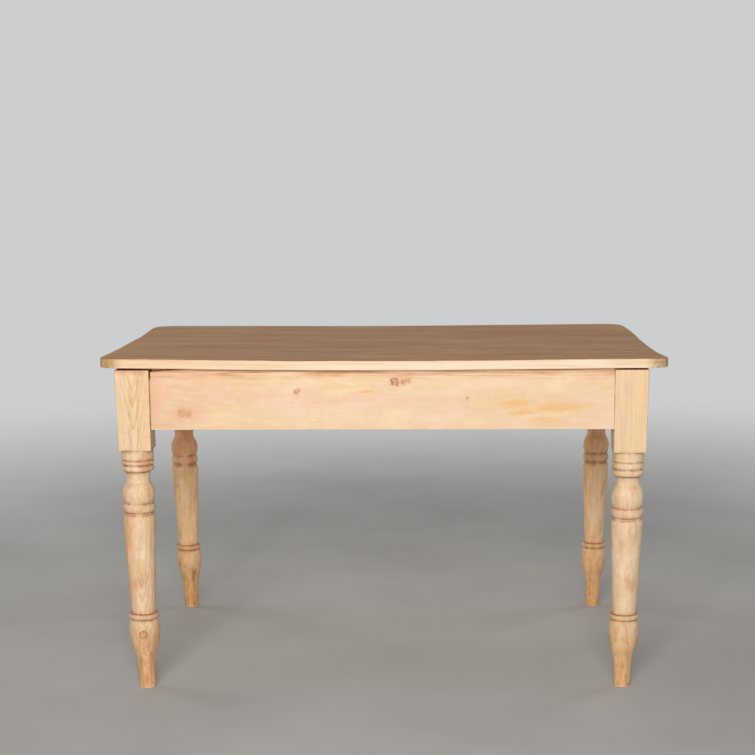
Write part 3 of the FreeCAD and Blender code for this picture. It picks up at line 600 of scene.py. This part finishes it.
# turned legs
legLook = {
    "blockWide": 77 * mm,
    "blockFootWide": 73 * mm,
    "blockLong": 192 * mm,
    "blockWear": 3.2 * mm,        # rounding of the corners of the block
    "topGap": 2.5 * mm,           # room under the warped top
    "turnWide": 74 * mm,
    "around": 64,                 # points round the turning, a multiple of 8
    "fine": 2.2 * mm,             # spacing of the points on its arcs
    "cornerWear": 0.8 * mm,
    "footWear": 0.8 * mm,
    "blockSteps": 26,
    "eased": ((0, 1.6), (0.5, 0.6), (1.6, 0)),        # mm from the ends of the block, mm in
    # share of the turning's radius, share of its height, then the point that an arc passes
    "turning": (
        ((0.978, 1.0), None),
        ((0.978, 0.959), None),
        ((0.890, 0.956), None),
        ((0.876, 0.925), (1.0, 0.941)),
        ((0.769, 0.894), (0.988, 0.910)),
        ((0.744, 0.849), (0.708, 0.873)),
        ((0.865, 0.762), (0.998, 0.802)),
        ((0.890, 0.722), (1.0, 0.742)),
        ((0.871, 0.716), None),
        ((0.988, 0.690), (0.958, 0.706)),
        ((0.725, 0.314), (0.866, 0.495)),
        ((0.817, 0.288), (0.937, 0.301)),
        ((0.827, 0.285), None),
        ((0.890, 0.198), (0.944, 0.238)),
        ((0.701, 0.150), (0.822, 0.174)),
        ((0.521, 0.055), (0.564, 0.105)),
        ((0.506, 0.0), None),
    ),
    # share of the turned height, and how dark the dirt in the groove is; the first line, just under the
    # block, is painted shadow of the block, not a groove
    "grooves": (
        (0.998, 0.5), (0.957, 0.6), (0.925, 0.95), (0.894, 0.9), (0.762, 0.9),
        (0.722, 1.2), (0.713, 0.6), (0.313, 0.6), (0.287, 1.05),
    ),
    "rings": ((0.925, 0.956), (0.894, 0.924), (0.722, 0.760), (0.288, 0.312)),
    "grooveTone": tone(128, 74, 50),
    "grimeTone": tone(192, 132, 94),
    "ringTone": tone(212, 160, 128),
    # the multiply of the painted shade towards the foot
    "lowShadeTone": tone(243, 224, 198),
    "footTone": tone(172, 108, 60),
    "flameTone": tone(232, 168, 110),
    # the warm multiply of the painted shade from the vase up
    "ruddyTone": tone(248, 226, 217),
    "fleckTone": tone(134, 92, 60),
    "bloomTone": tone(248, 228, 202),
    "stainTone": tone(208, 154, 108),
    "rimTone": tone(240, 212, 172),
}
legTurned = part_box("leg_front_left")[1].z - legLook["blockLong"]


def arcThrough(start, middle, end, count):
    # points of the circle through three points, start left out
    ax, ay = start
    bx, by = middle
    cx, cy = end
    double = 2 * (ax * (by - cy) + bx * (cy - ay) + cx * (ay - by))
    squares = [px * px + py * py for px, py in (start, middle, end)]
    ux = (squares[0] * (by - cy) + squares[1] * (cy - ay) + squares[2] * (ay - by)) / double
    uy = (squares[0] * (cx - bx) + squares[1] * (ax - cx) + squares[2] * (bx - ax)) / double
    radius = math.hypot(ax - ux, ay - uy)
    angles = [math.atan2(py - uy, px - ux) for px, py in (start, middle, end)]
    full = 2 * math.pi
    sweep = (angles[2] - angles[0]) % full
    if (angles[1] - angles[0]) % full > sweep:
        sweep -= full
    turned = [angles[0] + sweep * step / count for step in range(1, count + 1)]
    return [(ux + radius * math.cos(turn), uy + radius * math.sin(turn)) for turn in turned]


def outline(shares, wide, high, fine, corner):
    # the turned outline from the top down, with its corners eased
    runs = []
    place = (shares[0][0][0] * wide, shares[0][0][1] * high)
    for (across, up), bow in shares[1:]:
        end = (across * wide, up * high)
        long = math.dist(place, end)
        if bow:
            count = max(6, int(long / fine))
            runs.append([place] + arcThrough(place, (bow[0] * wide, bow[1] * high), end, count))
        else:
            count = max(1, int(long / (fine * 8)))
            steps = zip(between(place[0], end[0], count), between(place[1], end[1], count))
            runs.append(list(steps))
        place = end
    points = [runs[0][0]]
    for run, following in zip(runs, runs[1:] + [None]):
        points += run[1:-1]
        knee = Vector(run[-1])
        if following is None:
            points.append(tuple(knee))
            continue
        back = Vector(run[-2]) - knee
        ahead = Vector(following[1]) - knee
        first = knee + back.normalized() * min(corner, back.length * 0.45)
        second = knee + ahead.normalized() * min(corner, ahead.length * 0.45)
        points += [tuple(first), tuple((first + second + knee * 2) / 4), tuple(second)]
    return points


def squareLoop(half, radius, count):
    # a square with rounded corners, from the middle of its right side round to the left
    corner = 6
    flat = (count // 4 - corner) // 2
    reach = half - radius
    side = [(half, reach * step / flat) for step in range(flat)]
    for turn in between(0, math.pi / 2, corner - 1):
        side.append((reach + radius * math.cos(turn), reach + radius * math.sin(turn)))
    side += [(reach * (1 - step / (flat + 1)), half) for step in range(1, flat + 1)]
    loop = []
    for quarter in range(4):
        cosine = math.cos(quarter * math.pi / 2)
        sine = math.sin(quarter * math.pi / 2)
        loop += [(px * cosine - py * sine, px * sine + py * cosine) for px, py in side]
    return loop


def cutShare(share, marks):
    # height at which this leg's turner really cut what is drawn at this share
    for (low, lowCut), (high, highCut) in zip(marks, marks[1:]):
        if share <= high or high == marks[-1][0]:
            return lowCut + (highCut - lowCut) * (share - low) / (high - low)


def legSide(look):
    return -1 if look["node"].endswith("left") else 1


def leg(look, material):
    low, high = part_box(look["node"])
    marks = look["marks"]
    seed = look["wood"]["seed"]
    outward = legSide(look)
    halfBlock = legLook["blockWide"] / 2
    topX = (low.x + halfBlock) if outward < 0 else (high.x - halfBlock)
    middleY = (low.y + high.y) / 2
    slope = math.tan(math.radians(look["lean"]))
    count = legLook["around"]
    wear = legLook["blockWear"]
    loops = []
    # block, from its top down, with its upper and lower edges eased
    blockTop = high.z - legLook["topGap"]
    blockFoot = legTurned * marks[-1][1]
    eased = legLook["eased"]
    levels = [(blockTop - drop * mm, inset * mm) for drop, inset in eased]
    levels += [(z, 0) for z in between(blockTop, blockFoot, legLook["blockSteps"])[1:-1]]
    levels += [(blockFoot + drop * mm, inset * mm) for drop, inset in reversed(eased)]
    for z, inset in levels:
        share = (high.z - z) / legLook["blockLong"]
        half = halfBlock + (legLook["blockFootWide"] / 2 - halfBlock) * share - inset
        loop = []
        for px, py in squareLoop(half, wear * (1 + 0.35 * wave(seed, z * 14, 0.2)), count):
            dent = 1 + 0.006 * wave(px * 40 + seed, py * 40, z * 30)
            loop.append((px * dent, py * dent, z))
        loops.append(loop)
    # turning, to the foot
    wide = legLook["turnWide"] / 2 * look["girth"]
    profile = outline(legLook["turning"], wide, legTurned, legLook["fine"], legLook["cornerWear"])
    for radius, drawn in profile:
        z = cutShare(drawn / legTurned, marks) * legTurned
        loop = []
        for step in range(count):
            turn = 2 * math.pi * step / count
            rough = 0.004 + 0.022 * max(0, 1 - z / (30 * mm))
            swell = radius * (1 + rough * wave(math.cos(turn) * 2 + seed, math.sin(turn) * 2, z * 26))
            loop.append((swell * math.cos(turn), swell * math.sin(turn), z))
        loops.append(loop)
    foot = loops[-1]
    loops[-1] = [(px, py, legLook["footWear"]) for px, py, z in foot]
    loops.append([(px * 0.985, py * 0.985, 0) for px, py, z in foot])
    points = []
    for loop in loops:
        for px, py, z in loop:
            stray = look["bow"] * mm * math.sin(math.pi * min(1, z / legTurned))
            points.append((topX + px + stray - outward * slope * (high.z - z), middleY + py, z))
    faces = []
    for index in range(len(loops) - 1):
        for step in range(count):
            follow = (step + 1) % count
            first = index * count
            second = first + count
            faces.append((first + step, second + step, second + follow, first + follow))
    faces.append(tuple(range(count)))
    faces.append(tuple(reversed(range(len(points) - count, len(points)))))
    piece = meshObject(f"{look['node']}_turned", points, faces)
    dress(piece, look["node"], "table_frame", material)


def legGrimeAndShade(look):
    marks = look["marks"]
    bloom = look["bloom"]

    def finish(wood, base, place, turns):
        x, y, z = place
        uneven = wood.clouds(wood.point(x * 70, y * 70, z * 30), 3.0)
        pale = wood.clouds(wood.point(x * 90, y * 90, z * 30 + bloom), 4.0)
        base = smudges(wood, base, place, look["spots"], legLook["flameTone"], uneven)
        base = smudges(wood, base, place, look["stains"], legLook["ringTone"], uneven)
        # painted shade from the vase up, a warm darkening where the top shades the legs
        base = wood.mix(z.rise(0.36, 0.44) * look["vaseShade"], base, legLook["ruddyTone"], "MULTIPLY")
        lines = wood.clouds(wood.point(x * 230, y * 230, z * 7 + bloom), 2.0)
        base = base * ((lines - 0.5) * 0.35 + 1)
        foot = legTurned * marks[-1][1]
        turned = z.rise(foot + 1 * mm, foot - 1 * mm)
        stain = wood.clouds(wood.point(x * 42, y * 42, z * 17 + bloom), 4.0)
        base = wood.mix(stain.rise(0.5, 0.72) * turned * 0.55, base, legLook["stainTone"])
        base = wood.mix(stain.rise(0.46, 0.3) * turned * 0.4, base, legLook["bloomTone"])
        base = wood.mix(pale.rise(0.5, 0.7) * turned * bloom, base, legLook["bloomTone"])
        for low, high in legLook["rings"]:
            under, over = [cutShare(share, marks) * legTurned for share in (low, high)]
            near = abs(z - (under + over) / 2)
            tint = near.rise((over - under) / 2 + 1 * mm, (over - under) / 4) * uneven.rise(0.35, 0.65)
            base = wood.mix(tint * 0.35 * look["grime"], base, legLook["ringTone"])
        # dark lines of dirt in the grooves, and a painted shadow line just under the block
        for share, dark in legLook["grooves"]:
            near = abs(z - cutShare(share, marks) * legTurned)
            spread = near.rise(9 * mm, 1 * mm) * uneven.rise(0.35, 0.65) * 0.45
            base = wood.mix(spread * look["grime"], base, legLook["grimeTone"])
            line = near.rise(2.2 * mm, 0.3 * mm) * (uneven.rise(0.32, 0.62) * 0.75 + 0.3)
            base = wood.mix(line * (dark * 0.65), base, legLook["grooveTone"])
        # painted shade: darker and yellower towards the foot, where less light reaches
        base = wood.mix(z.rise(0.22, 0.02) * 0.9, base, legLook["lowShadeTone"], "MULTIPLY")
        runs = wood.clouds(wood.point(x * 80, y * 80, z * 12 + bloom * 9), 3.0)
        runs = runs.rise(0.46, 0.7) * z.rise(0.2, 0.07) * look["footStain"]
        base = wood.mix(runs, base, legLook["footTone"])
        specks = wood.clouds(wood.point(x * 170, y * 170, z * 110), 3.0)
        base = wood.mix(specks.rise(0.56, 0.7) * z.rise(0.2, 0.03) * 0.45, base, legLook["fleckTone"])
        return wood.mix(z.rise(3.5 * mm, 1.5 * mm) * 0.6, base, legLook["rimTone"])
    return finish


# pairs of drawn and cut shares of the turned height, for cutShare
vaseMarks = ((0, 0), (0.762, 0.762), (0.849, 0.858), (0.894, 0.894), (1, 1))
shortMarks = ((0, 0), (0.15, 0.163), (0.198, 0.210), (0.285, 0.287), (1, 1))
highMarks = (
    (0, 0), (0.196, 0.205), (0.288, 0.295), (0.314, 0.321), (0.722, 0.748),
    (0.894, 0.918), (0.925, 0.947), (0.957, 0.969), (1, 1.011),
)
raisedMarks = (
    (0, 0), (0.15, 0.168), (0.198, 0.217), (0.288, 0.297), (0.314, 0.323), (0.722, 0.731), (1, 1.009),
)
backLitPale = tone(252, 207, 155)        # lighter and warmer than the front legs' pale: painted light for the warm light that reaches the back legs in the shade under the table
plainLeg = {
    "lean": 0.0,                  # degrees
    "bow": 0.0,                   # mm that the turning strays sideways at half height
    "girth": 1.0,
    "bloom": 0.3,                 # pale patches
    "grime": 1.0,                 # dirt at the rings
    "vaseShade": 0.0,                 # painted shade from the vase up, where the top shades the back legs
    "footStain": 0.5,
    "spots": (),                  # as smudges takes them
    "stains": (),
}
legLooks = (
    {
        "node": "leg_front_left",
        "lean": 1.35,
        "bow": -2.4,
        "marks": highMarks,
        "bloom": 0.25,
        "spots": ((-561, 668, 4, 26, 0.9), (-579, 310, 21, 150, 0.8)),
        "stains": ((-562, 737, 42, 13, 0.9),),
        "wood": {"seed": 2.1, "pith": (-0.543, -0.4045), "ring": 9 * mm, "taper": -0.2,
                 "lateShare": 0.85, "lateThin": 5.0, "late": tone(204, 128, 88), "wander": 8 * mm,
                 "lateFade": ((0.53, 0.58), (0.36, 0.24)), "lateReach": 16 * mm, "ragged": 0.5,
                 "flecks": 0.2, "relief": 0.15 * mm, "knots": (((-547, -403, 130), 9, 0.4, 0.6),)},
    },
    {
        "node": "leg_front_right",
        "lean": 0.95,
        "bow": 0.8,
        "marks": vaseMarks,
        "bloom": 0.5,
        "grime": 0.55,
        "footStain": 0.6,
        "wood": {"seed": 6.4, "pith": (0.42, -0.10), "ring": 5 * mm, "taper": 0.01, "lateShare": 0.1,
                 "streakShare": 0.2, "flecks": 0.0, "fibre": 0.1, "mottle": 0.06},
    },
    {
        "node": "leg_back_left",
        "lean": 1.5,
        "bow": -2.2,
        "girth": 0.95,
        "marks": shortMarks,
        "bloom": 0.2,
        "vaseShade": 1.0,
        "footStain": 0.85,
        # the back legs' lighter pale and fewer dark streaks are painted light
        "wood": {"seed": 9.9, "pith": (-0.70, 0.20), "ring": 4.6 * mm, "taper": 0.02, "lateShare": 0.3,
                 "pale": backLitPale, "streakShare": 0.5},
    },
    {
        "node": "leg_back_right",
        "lean": 0.75,
        "girth": 0.925,
        "marks": raisedMarks,
        "vaseShade": 0.5,
        "footStain": 0.25,
        # the back legs' lighter pale and fewer dark streaks are painted light
        "wood": {"seed": 12.5, "pith": (0.40, 0.52), "ring": 4.4 * mm, "taper": -0.02, "lateShare": 0.2,
                 "pale": backLitPale, "streakShare": 0.35},
    },
)
legPine = {
    "grain": "z",
    "pale": tone(238, 205, 165),
    "mottle": 0.15,
    "streakShare": 0.75,
    "streakWaves": (1.9, 130, 130),
    "gloss": 0.2,
    "wander": 10 * mm,
    "arrisFrom": legTurned,
    "lateFade": ((0.485, 0.535), (0.395, 0.36)),        # fainter on the vase between these heights
}
for ownLook in legLooks:
    look = {**plainLeg, **ownLook}
    lean = -legSide(look) * math.tan(math.radians(look["lean"]))
    grain = {**barePine, **legPine, **look["wood"], "lean": lean}
    leg(look, pine(f"{look['node']}_wood", grain, legGrimeAndShade(look)))
print("legs turned")


def wornCopy(name, node, body, material, wear, cuts=(), shape=None):
    # a copy of the solid with its sharp edges eased, cut across so that it can bow and ripple
    form = bmesh.new()
    form.from_mesh(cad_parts[node].data)
    bmesh.ops.remove_doubles(form, verts=form.verts[:], dist=0.01 * mm)
    flat = math.radians(3)
    sharpFrom = math.radians(35)
    bmesh.ops.dissolve_limit(form, angle_limit=flat, verts=form.verts[:], edges=form.edges[:])
    folded = [edge for edge in form.edges if len(edge.link_faces) == 2]
    sharp = [edge for edge in folded if edge.calc_face_angle() > sharpFrom]
    eased = {"offset": wear, "segments": 2, "profile": 0.5, "affect": "EDGES", "clamp_overlap": True}
    bmesh.ops.bevel(form, geom=sharp, **eased)
    low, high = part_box(node)
    for axis, count in cuts:
        normal = Vector([1 if index == axis else 0 for index in range(3)])
        for place in between(low[axis], high[axis], count)[1:-1]:
            every = form.verts[:] + form.edges[:] + form.faces[:]
            plane = {"plane_co": normal * place, "plane_no": normal}
            bmesh.ops.bisect_plane(form, geom=every, dist=0.001 * mm, **plane)
    if shape:
        for vert in form.verts:
            vert.co += Vector(shape(vert.co))
    mesh = bpy.data.meshes.new(name)
    form.to_mesh(mesh)
    form.free()
    dress(makeObject(name, mesh), node, body, material)


# long rails
railLook = {
    "wear": 1.8 * mm,
    "brokenLong": 80 * mm,        # corner missing at the top of the front rail's left end
    "brokenDeep": 6 * mm,
    "shrunk": 1.4 * mm,           # open joint at its left shoulder
    "shoulder": -521 * mm,
    "shoulderReach": 2.5 * mm,
    "waneAndShadow": (712 * mm, 737 * mm),             # heights between which the brown band sets in: bark-side wane, and painted shadow under the top's overhang
    "lowEdge": (605.5 * mm, 603.5 * mm),      # pale lower edge: wear, and painted highlight along it
    "amberTone": tone(238, 186, 120),
    "waneAndShadowTone": tone(196, 136, 90),
    "ruddyTone": tone(230, 178, 138),
    "amberPatches": (             # as smudges takes them
        (296, 661, 58, 10, 0.75), (391, 652, 54, 15, 0.75), (317, 640, 40, 7, 0.9),
        (366, 622, 52, 10, 0.5), (440, 656, 40, 8, 0.35), (-30, 688, 22, 4, 0.9),
        (-149, 664, 8, 3, 0.6), (-90, 700, 60, 5, 0.3), (120, 640, 50, 6, 0.25),
        (-300, 705, 70, 5, 0.3), (-360, 650, 60, 6, 0.2),
    ),
    "ruddyPatches": (
        (-512, 668, 22, 70, 0.55), (-446, 641, 62, 24, 0.4), (-490, 612, 40, 10, 0.5),
        (-395, 722, 90, 10, 0.3),
    ),
    "frontKnots": (
        ((-450, -405, 640), 8, 1.2, 0.5),
        ((-435, -405, 638), 6.5, 1.1, 0.4),
        ((-193, -405, 687), 5, 0.95, 0.15),
        ((-187, -405, 692), 3.5, 0.9, 0.0),
        ((29, -405, 711), 9, 0.75, 0.75),
        ((48, -405, 711), 6.5, 0.85, 0.15),
        ((60, -405, 712), 5, 0.75, 0.0),
        ((192, -405, 673), 3.2, 0.9, 0.0),
    ),
}


def railShape(place):
    low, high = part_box("side_rail_front")
    up = (place.z - low.z) / (high.z - low.z)
    lift = min(topLift(place.x, place.y), 0) * up ** 8
    fromShoulder = place.x - railLook["shoulder"]
    aside = 0
    if place.y < 0 and up > 0.9:
        lift -= max(0, 1 - fromShoulder / railLook["brokenLong"]) * railLook["brokenDeep"]
    if abs(fromShoulder) < railLook["shoulderReach"]:
        aside = railLook["shrunk"] * (1 + 0.5 * wave(place.z * 55, place.y, 4.4))
    ripple = wave(place.x * 7, place.z * 16, place.y) * 0.35 * mm
    return (aside, ripple, lift)


def railMarks(wood, base, place, turns):
    # amber patches, a ruddy left end, a brown band under the top edge that is bark-side wane and painted
    # shadow of the top's overhang, and a pale lower edge that is wear and painted highlight
    x, y, z = place
    uneven = wood.clouds(wood.point(x * 22, y * 10, z * 95), 4.0)
    base = wood.mix(x.rise(-0.2, -0.5) * uneven.rise(0.3, 0.6) * 0.5, base, railLook["ruddyTone"])
    base = smudges(wood, base, place, railLook["amberPatches"], railLook["amberTone"], uneven)
    base = smudges(wood, base, place, railLook["ruddyPatches"], railLook["ruddyTone"], uneven)
    fine = wood.clouds(wood.point(x * 6, y * 10, z * 250), 4.0)
    # painted shadow of the top's overhang, with bark-side wane, as a brown band under the top edge
    waneAndShadow = z + (uneven - 0.5) * 0.03
    waneAndShadow = waneAndShadow.rise(*railLook["waneAndShadow"]) * fine.rise(0.38, 0.58)
    base = wood.mix(waneAndShadow * 0.85, base, railLook["waneAndShadowTone"])
    # pale lower edge, worn and with a painted highlight
    return wood.mix(z.rise(*railLook["lowEdge"]) * 0.6, base, barePine["arrisTone"])


agedPale = tone(247, 208, 162)        # the back and the ends have yellowed more than the front
railLooks = (
    ("side_rail_front", railMarks, {
        "seed": 3.3, "pith": (-0.30, 0.70), "knots": railLook["frontKnots"], "lateShare": 0.06,
        "streakShare": 0.15, "pinkShare": 0.75, "strawShare": 0.6, "mottle": 0.06, "fibre": 0.07,
        "cloudy": 0.65, "flecks": 0.2,
    }),
    ("side_rail_back", None, {
        "seed": 7.7, "pith": (0.30, 0.63), "pale": agedPale, "knots": (((210, 405, 660), 9, 0.9, 0.5),),
    }),
)
for node, marks, look in railLooks:
    material = pine(f"{node}_wood", {**barePine, "lateShare": 0.3, **look}, marks)
    cuts = ((0, 64), (2, 6))        # axis and number of slices
    wear = railLook["wear"]
    wornCopy(f"{node}_worn", node, "table_frame", material, wear, cuts, railShape)
print("long rails made")


# drawer fronts darken round the knob and along their edges
frontLook = {
    "reach": 85 * mm,             # of the darker patch round the knob
    "edge": 9 * mm,
    "handled": tone(206, 152, 106),
    "grime": tone(190, 136, 94),
}


def handledFront(side):
    low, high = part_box(f"drawer_{side}_front")
    knobLow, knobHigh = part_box(f"drawer_{side}_knob")
    knobMiddle = (0.0, (knobLow.y + knobHigh.y) / 2, (knobLow.z + knobHigh.z) / 2)

    def finish(wood, base, place, turns):
        x, y, z = place
        uneven = wood.clouds(wood.point(x * 30, y * 26, z * 44), 4.0)
        near = wood.point(0.0, y, z).gap(knobMiddle) + (uneven - 0.5) * (60 * mm)
        base = wood.mix(near.rise(frontLook["reach"], 20 * mm) * 0.45, base, frontLook["handled"])
        up = abs(z - (low.z + high.z) / 2) - (high.z - low.z) / 2
        along = abs(y) - high.y
        rim = up.bigger(along).rise(-frontLook["edge"], -1 * mm)
        return wood.mix(rim * uneven.rise(0.35, 0.65) * 0.5, base, frontLook["grime"])
    return finish


# plain pieces: node, body, slot, edge wear in mm, grain, seed, pith and what else is its own
sides = ("left", "right")
rows = ("front", "back")
rails = "pine_rails"
inner = "pine_inner_frame"
fronts = "pine_drawer_fronts"
lining = "pine_drawer_linings"
aged = {"pale": agedPale}
frontPine = {"pale": agedPale, "lateShare": 0.6}
plainPieces = []
for index, side in enumerate(sides):
    drawer = f"drawer_{side}"
    end = -0.58 if side == "left" else 0.58
    plainPieces += [
        (f"end_rail_{side}", "table_frame", rails, 1.0, "y", 2.7 + index, (end, 0.5), aged),
        (f"drawer_rail_{side}", "table_frame", rails, 1.0, "y", 5.1 + index, (end * 0.8, 0.52), aged),
        (f"{drawer}_front", drawer, fronts, 1.2, "y", 8.6 + index, (end * 0.85, 0.66), frontPine),
        (f"{drawer}_side_front", drawer, lining, 0.6, "x", 11.2 + index, (0.25, 0.62), {}),
        (f"{drawer}_side_back", drawer, lining, 0.6, "x", 13.4 + index, (-0.2, 0.7), {}),
        (f"{drawer}_back", drawer, lining, 0.6, "y", 15.4 + index, (0.3, 0.6), {}),
        (f"{drawer}_bottom", drawer, lining, 0.5, "y", 17.8 + index, (end * 0.6, 0.42), {}),
    ]
    for row in rows:
        seed = 20 + index + len(row)
        plainPieces += [
            (f"runner_{row}_{side}", "table_frame", inner, 0.8, "x", seed, (0.1, 0.5), {}),
            (f"guide_{row}_{side}", "table_frame", inner, 0.8, "x", seed + 4, (0.2, 0.55), {}),
        ]
for row in rows:
    plainPieces.append((f"kicker_{row}", "table_frame", inner, 0.8, "x", 28 + len(row), (0.15, 0.64), {}))
plainPieces += [
    ("centre_bearer", "table_frame", inner, 1.0, "y", 31.0, (0.1, 0.5), {}),
    ("drawer_stops", "table_frame", inner, 0.5, "y", 33.0, (0.0, 0.58), {}),
]
for node, body, slot, wear, grain, seed, pith, own in plainPieces:
    look = {**barePine, "grain": grain, "seed": seed, "pith": pith, **own}
    marks = handledFront(body.removeprefix("drawer_")) if own is frontPine else None
    wornCopy(f"{node}_worn", node, body, pine(f"{node}_wood", look, marks), wear * mm)
print("plain pieces made:", len(plainPieces))


def coat(node, material):
    # a finish for a solid that keeps its own shape
    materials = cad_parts[node].data.materials
    materials.clear()
    materials.append(material)


knobLook = {
    "seed": 36.0,
    "pith": (0.0, 0.655),
    "ring": 3.5 * mm,
    "wander": 6 * mm,
    "pale": tone(230, 190, 144),        # darkened by hands
}
for side in sides:
    coat(f"drawer_{side}_knob", pine(f"drawer_{side}_knob_wood", {**barePine, **knobLook}))
oldIron = iron("old_iron", ironLook)
for node in ("top_screws", "guide_nails", "drawer_left_nails", "drawer_right_nails"):
    coat(node, oldIron)
print("knobs and iron finished")


# floor, light and camera
stageLook = {
    "floor": tone(196, 194, 191),
    "floorDrift": tone(184, 182, 179),
    "backdrop": tone(205, 206, 207),
    "floorWide": 40.0,
    "fadeFrom": 1.6,              # the floor runs out into the backdrop between these two distances
    "fadeTo": 5.0,
    "ambient": 0.16,
}
studioLamps = (        # name, place, aim, width, height, watts
    ("frontLamp", (-0.3, -5.6, 2.3), (0.0, 0.0, 0.45), 2.6, 2.0, 250),
    ("leftLamp", (-4.2, 2.0, 2.4), (0.0, 0.0, 0.4), 2.4, 2.0, 40),
    ("rightLamp", (4.2, 2.6, 2.4), (0.0, 0.0, 0.4), 2.4, 2.0, 40),
    ("backLamp", (-1.2, 5.2, 2.6), (0.0, 0.0, 0.4), 3.0, 1.8, 40),
)
cameraLook = {
    "lens": 82.8,
    "sensor": 36.0,
    "shift": (-0.06505, 0.0016),
    "place": (0.101, -4.2669, 1.1865),
    "pitch": math.radians(6.925),
    "roll": math.radians(0.1),
}


def paleFloor():
    ground = Finish(bpy.data.materials.new("pale_floor"))
    spot, = ground.node("ShaderNodeTexCoord").parts("Object")
    drift = ground.clouds(spot * 1.7, 3.0)
    base = ground.mix(drift.rise(0.3, 0.7) * 0.8, stageLook["floor"], stageLook["floorDrift"])
    ground.wear(base, drift * 0.2 + 0.7, ground.clouds(spot * 60.0, 2.0), 0.3 * mm)
    far = spot.gap((0.0, 0.0, 0.0)).rise(stageLook["fadeFrom"], stageLook["fadeTo"])
    straight, mirrored = ground.node("ShaderNodeLightPath").parts("Is Camera Ray", "Is Glossy Ray")
    paper = ground.node("ShaderNodeEmission", None, {"Color": stageLook["backdrop"]})
    shown = Sock(ground, ground.shader.outputs[0])
    sockets = {0: far * (straight + mirrored), 1: shown, 2: paper}
    faded = ground.node("ShaderNodeMixShader", None, sockets)
    ground.fill(ground.tree.nodes["Material Output"].inputs["Surface"], faded)
    half = stageLook["floorWide"] / 2
    corners = [(-half, -half, 0), (half, -half, 0), (half, half, 0), (-half, half, 0)]
    floor = meshObject("floor", corners, [(0, 1, 2, 3)])
    floor.data.materials.append(ground.owner)


def studioWorld():
    room = Finish(bpy.data.worlds.new("studio"))
    bpy.context.scene.world = room.owner
    white = {"Color": (1, 1, 1, 1), "Strength": stageLook["ambient"]}
    light = room.node("ShaderNodeBackground", None, white)
    paper = room.node("ShaderNodeBackground", None, {"Color": stageLook["backdrop"]})
    straight, mirrored = room.node("ShaderNodeLightPath").parts("Is Camera Ray", "Is Glossy Ray")
    chosen = room.node("ShaderNodeMixShader", None, {0: straight.bigger(mirrored), 1: light, 2: paper})
    room.fill(room.tree.nodes["World Output"].inputs["Surface"], chosen)


def studioLamp(name, place, aim, wide, high, watts):
    data = bpy.data.lights.new(name, "AREA")
    data.shape = "RECTANGLE"
    data.size = wide
    data.size_y = high
    data.energy = watts
    lamp = makeObject(name, data)
    lamp.location = place
    lamp.visible_glossy = place[1] < 0        # no glare of the far lamps along the top
    lamp.rotation_euler = (Vector(aim) - Vector(place)).to_track_quat("-Z", "Y").to_euler()


paleFloor()
studioWorld()
for lamp in studioLamps:
    studioLamp(*lamp)
cameraData = bpy.data.cameras.new("camera")
cameraData.lens = cameraLook["lens"]
cameraData.sensor_width = cameraLook["sensor"]
cameraData.shift_x, cameraData.shift_y = cameraLook["shift"]
camera = makeObject("camera", cameraData)
camera.location = cameraLook["place"]
camera.rotation_euler = (math.pi / 2 - cameraLook["pitch"], cameraLook["roll"], 0)
bpy.context.scene.camera = camera
bpy.context.scene.view_settings.view_transform = "Standard"
print("stage, lamps and camera set")
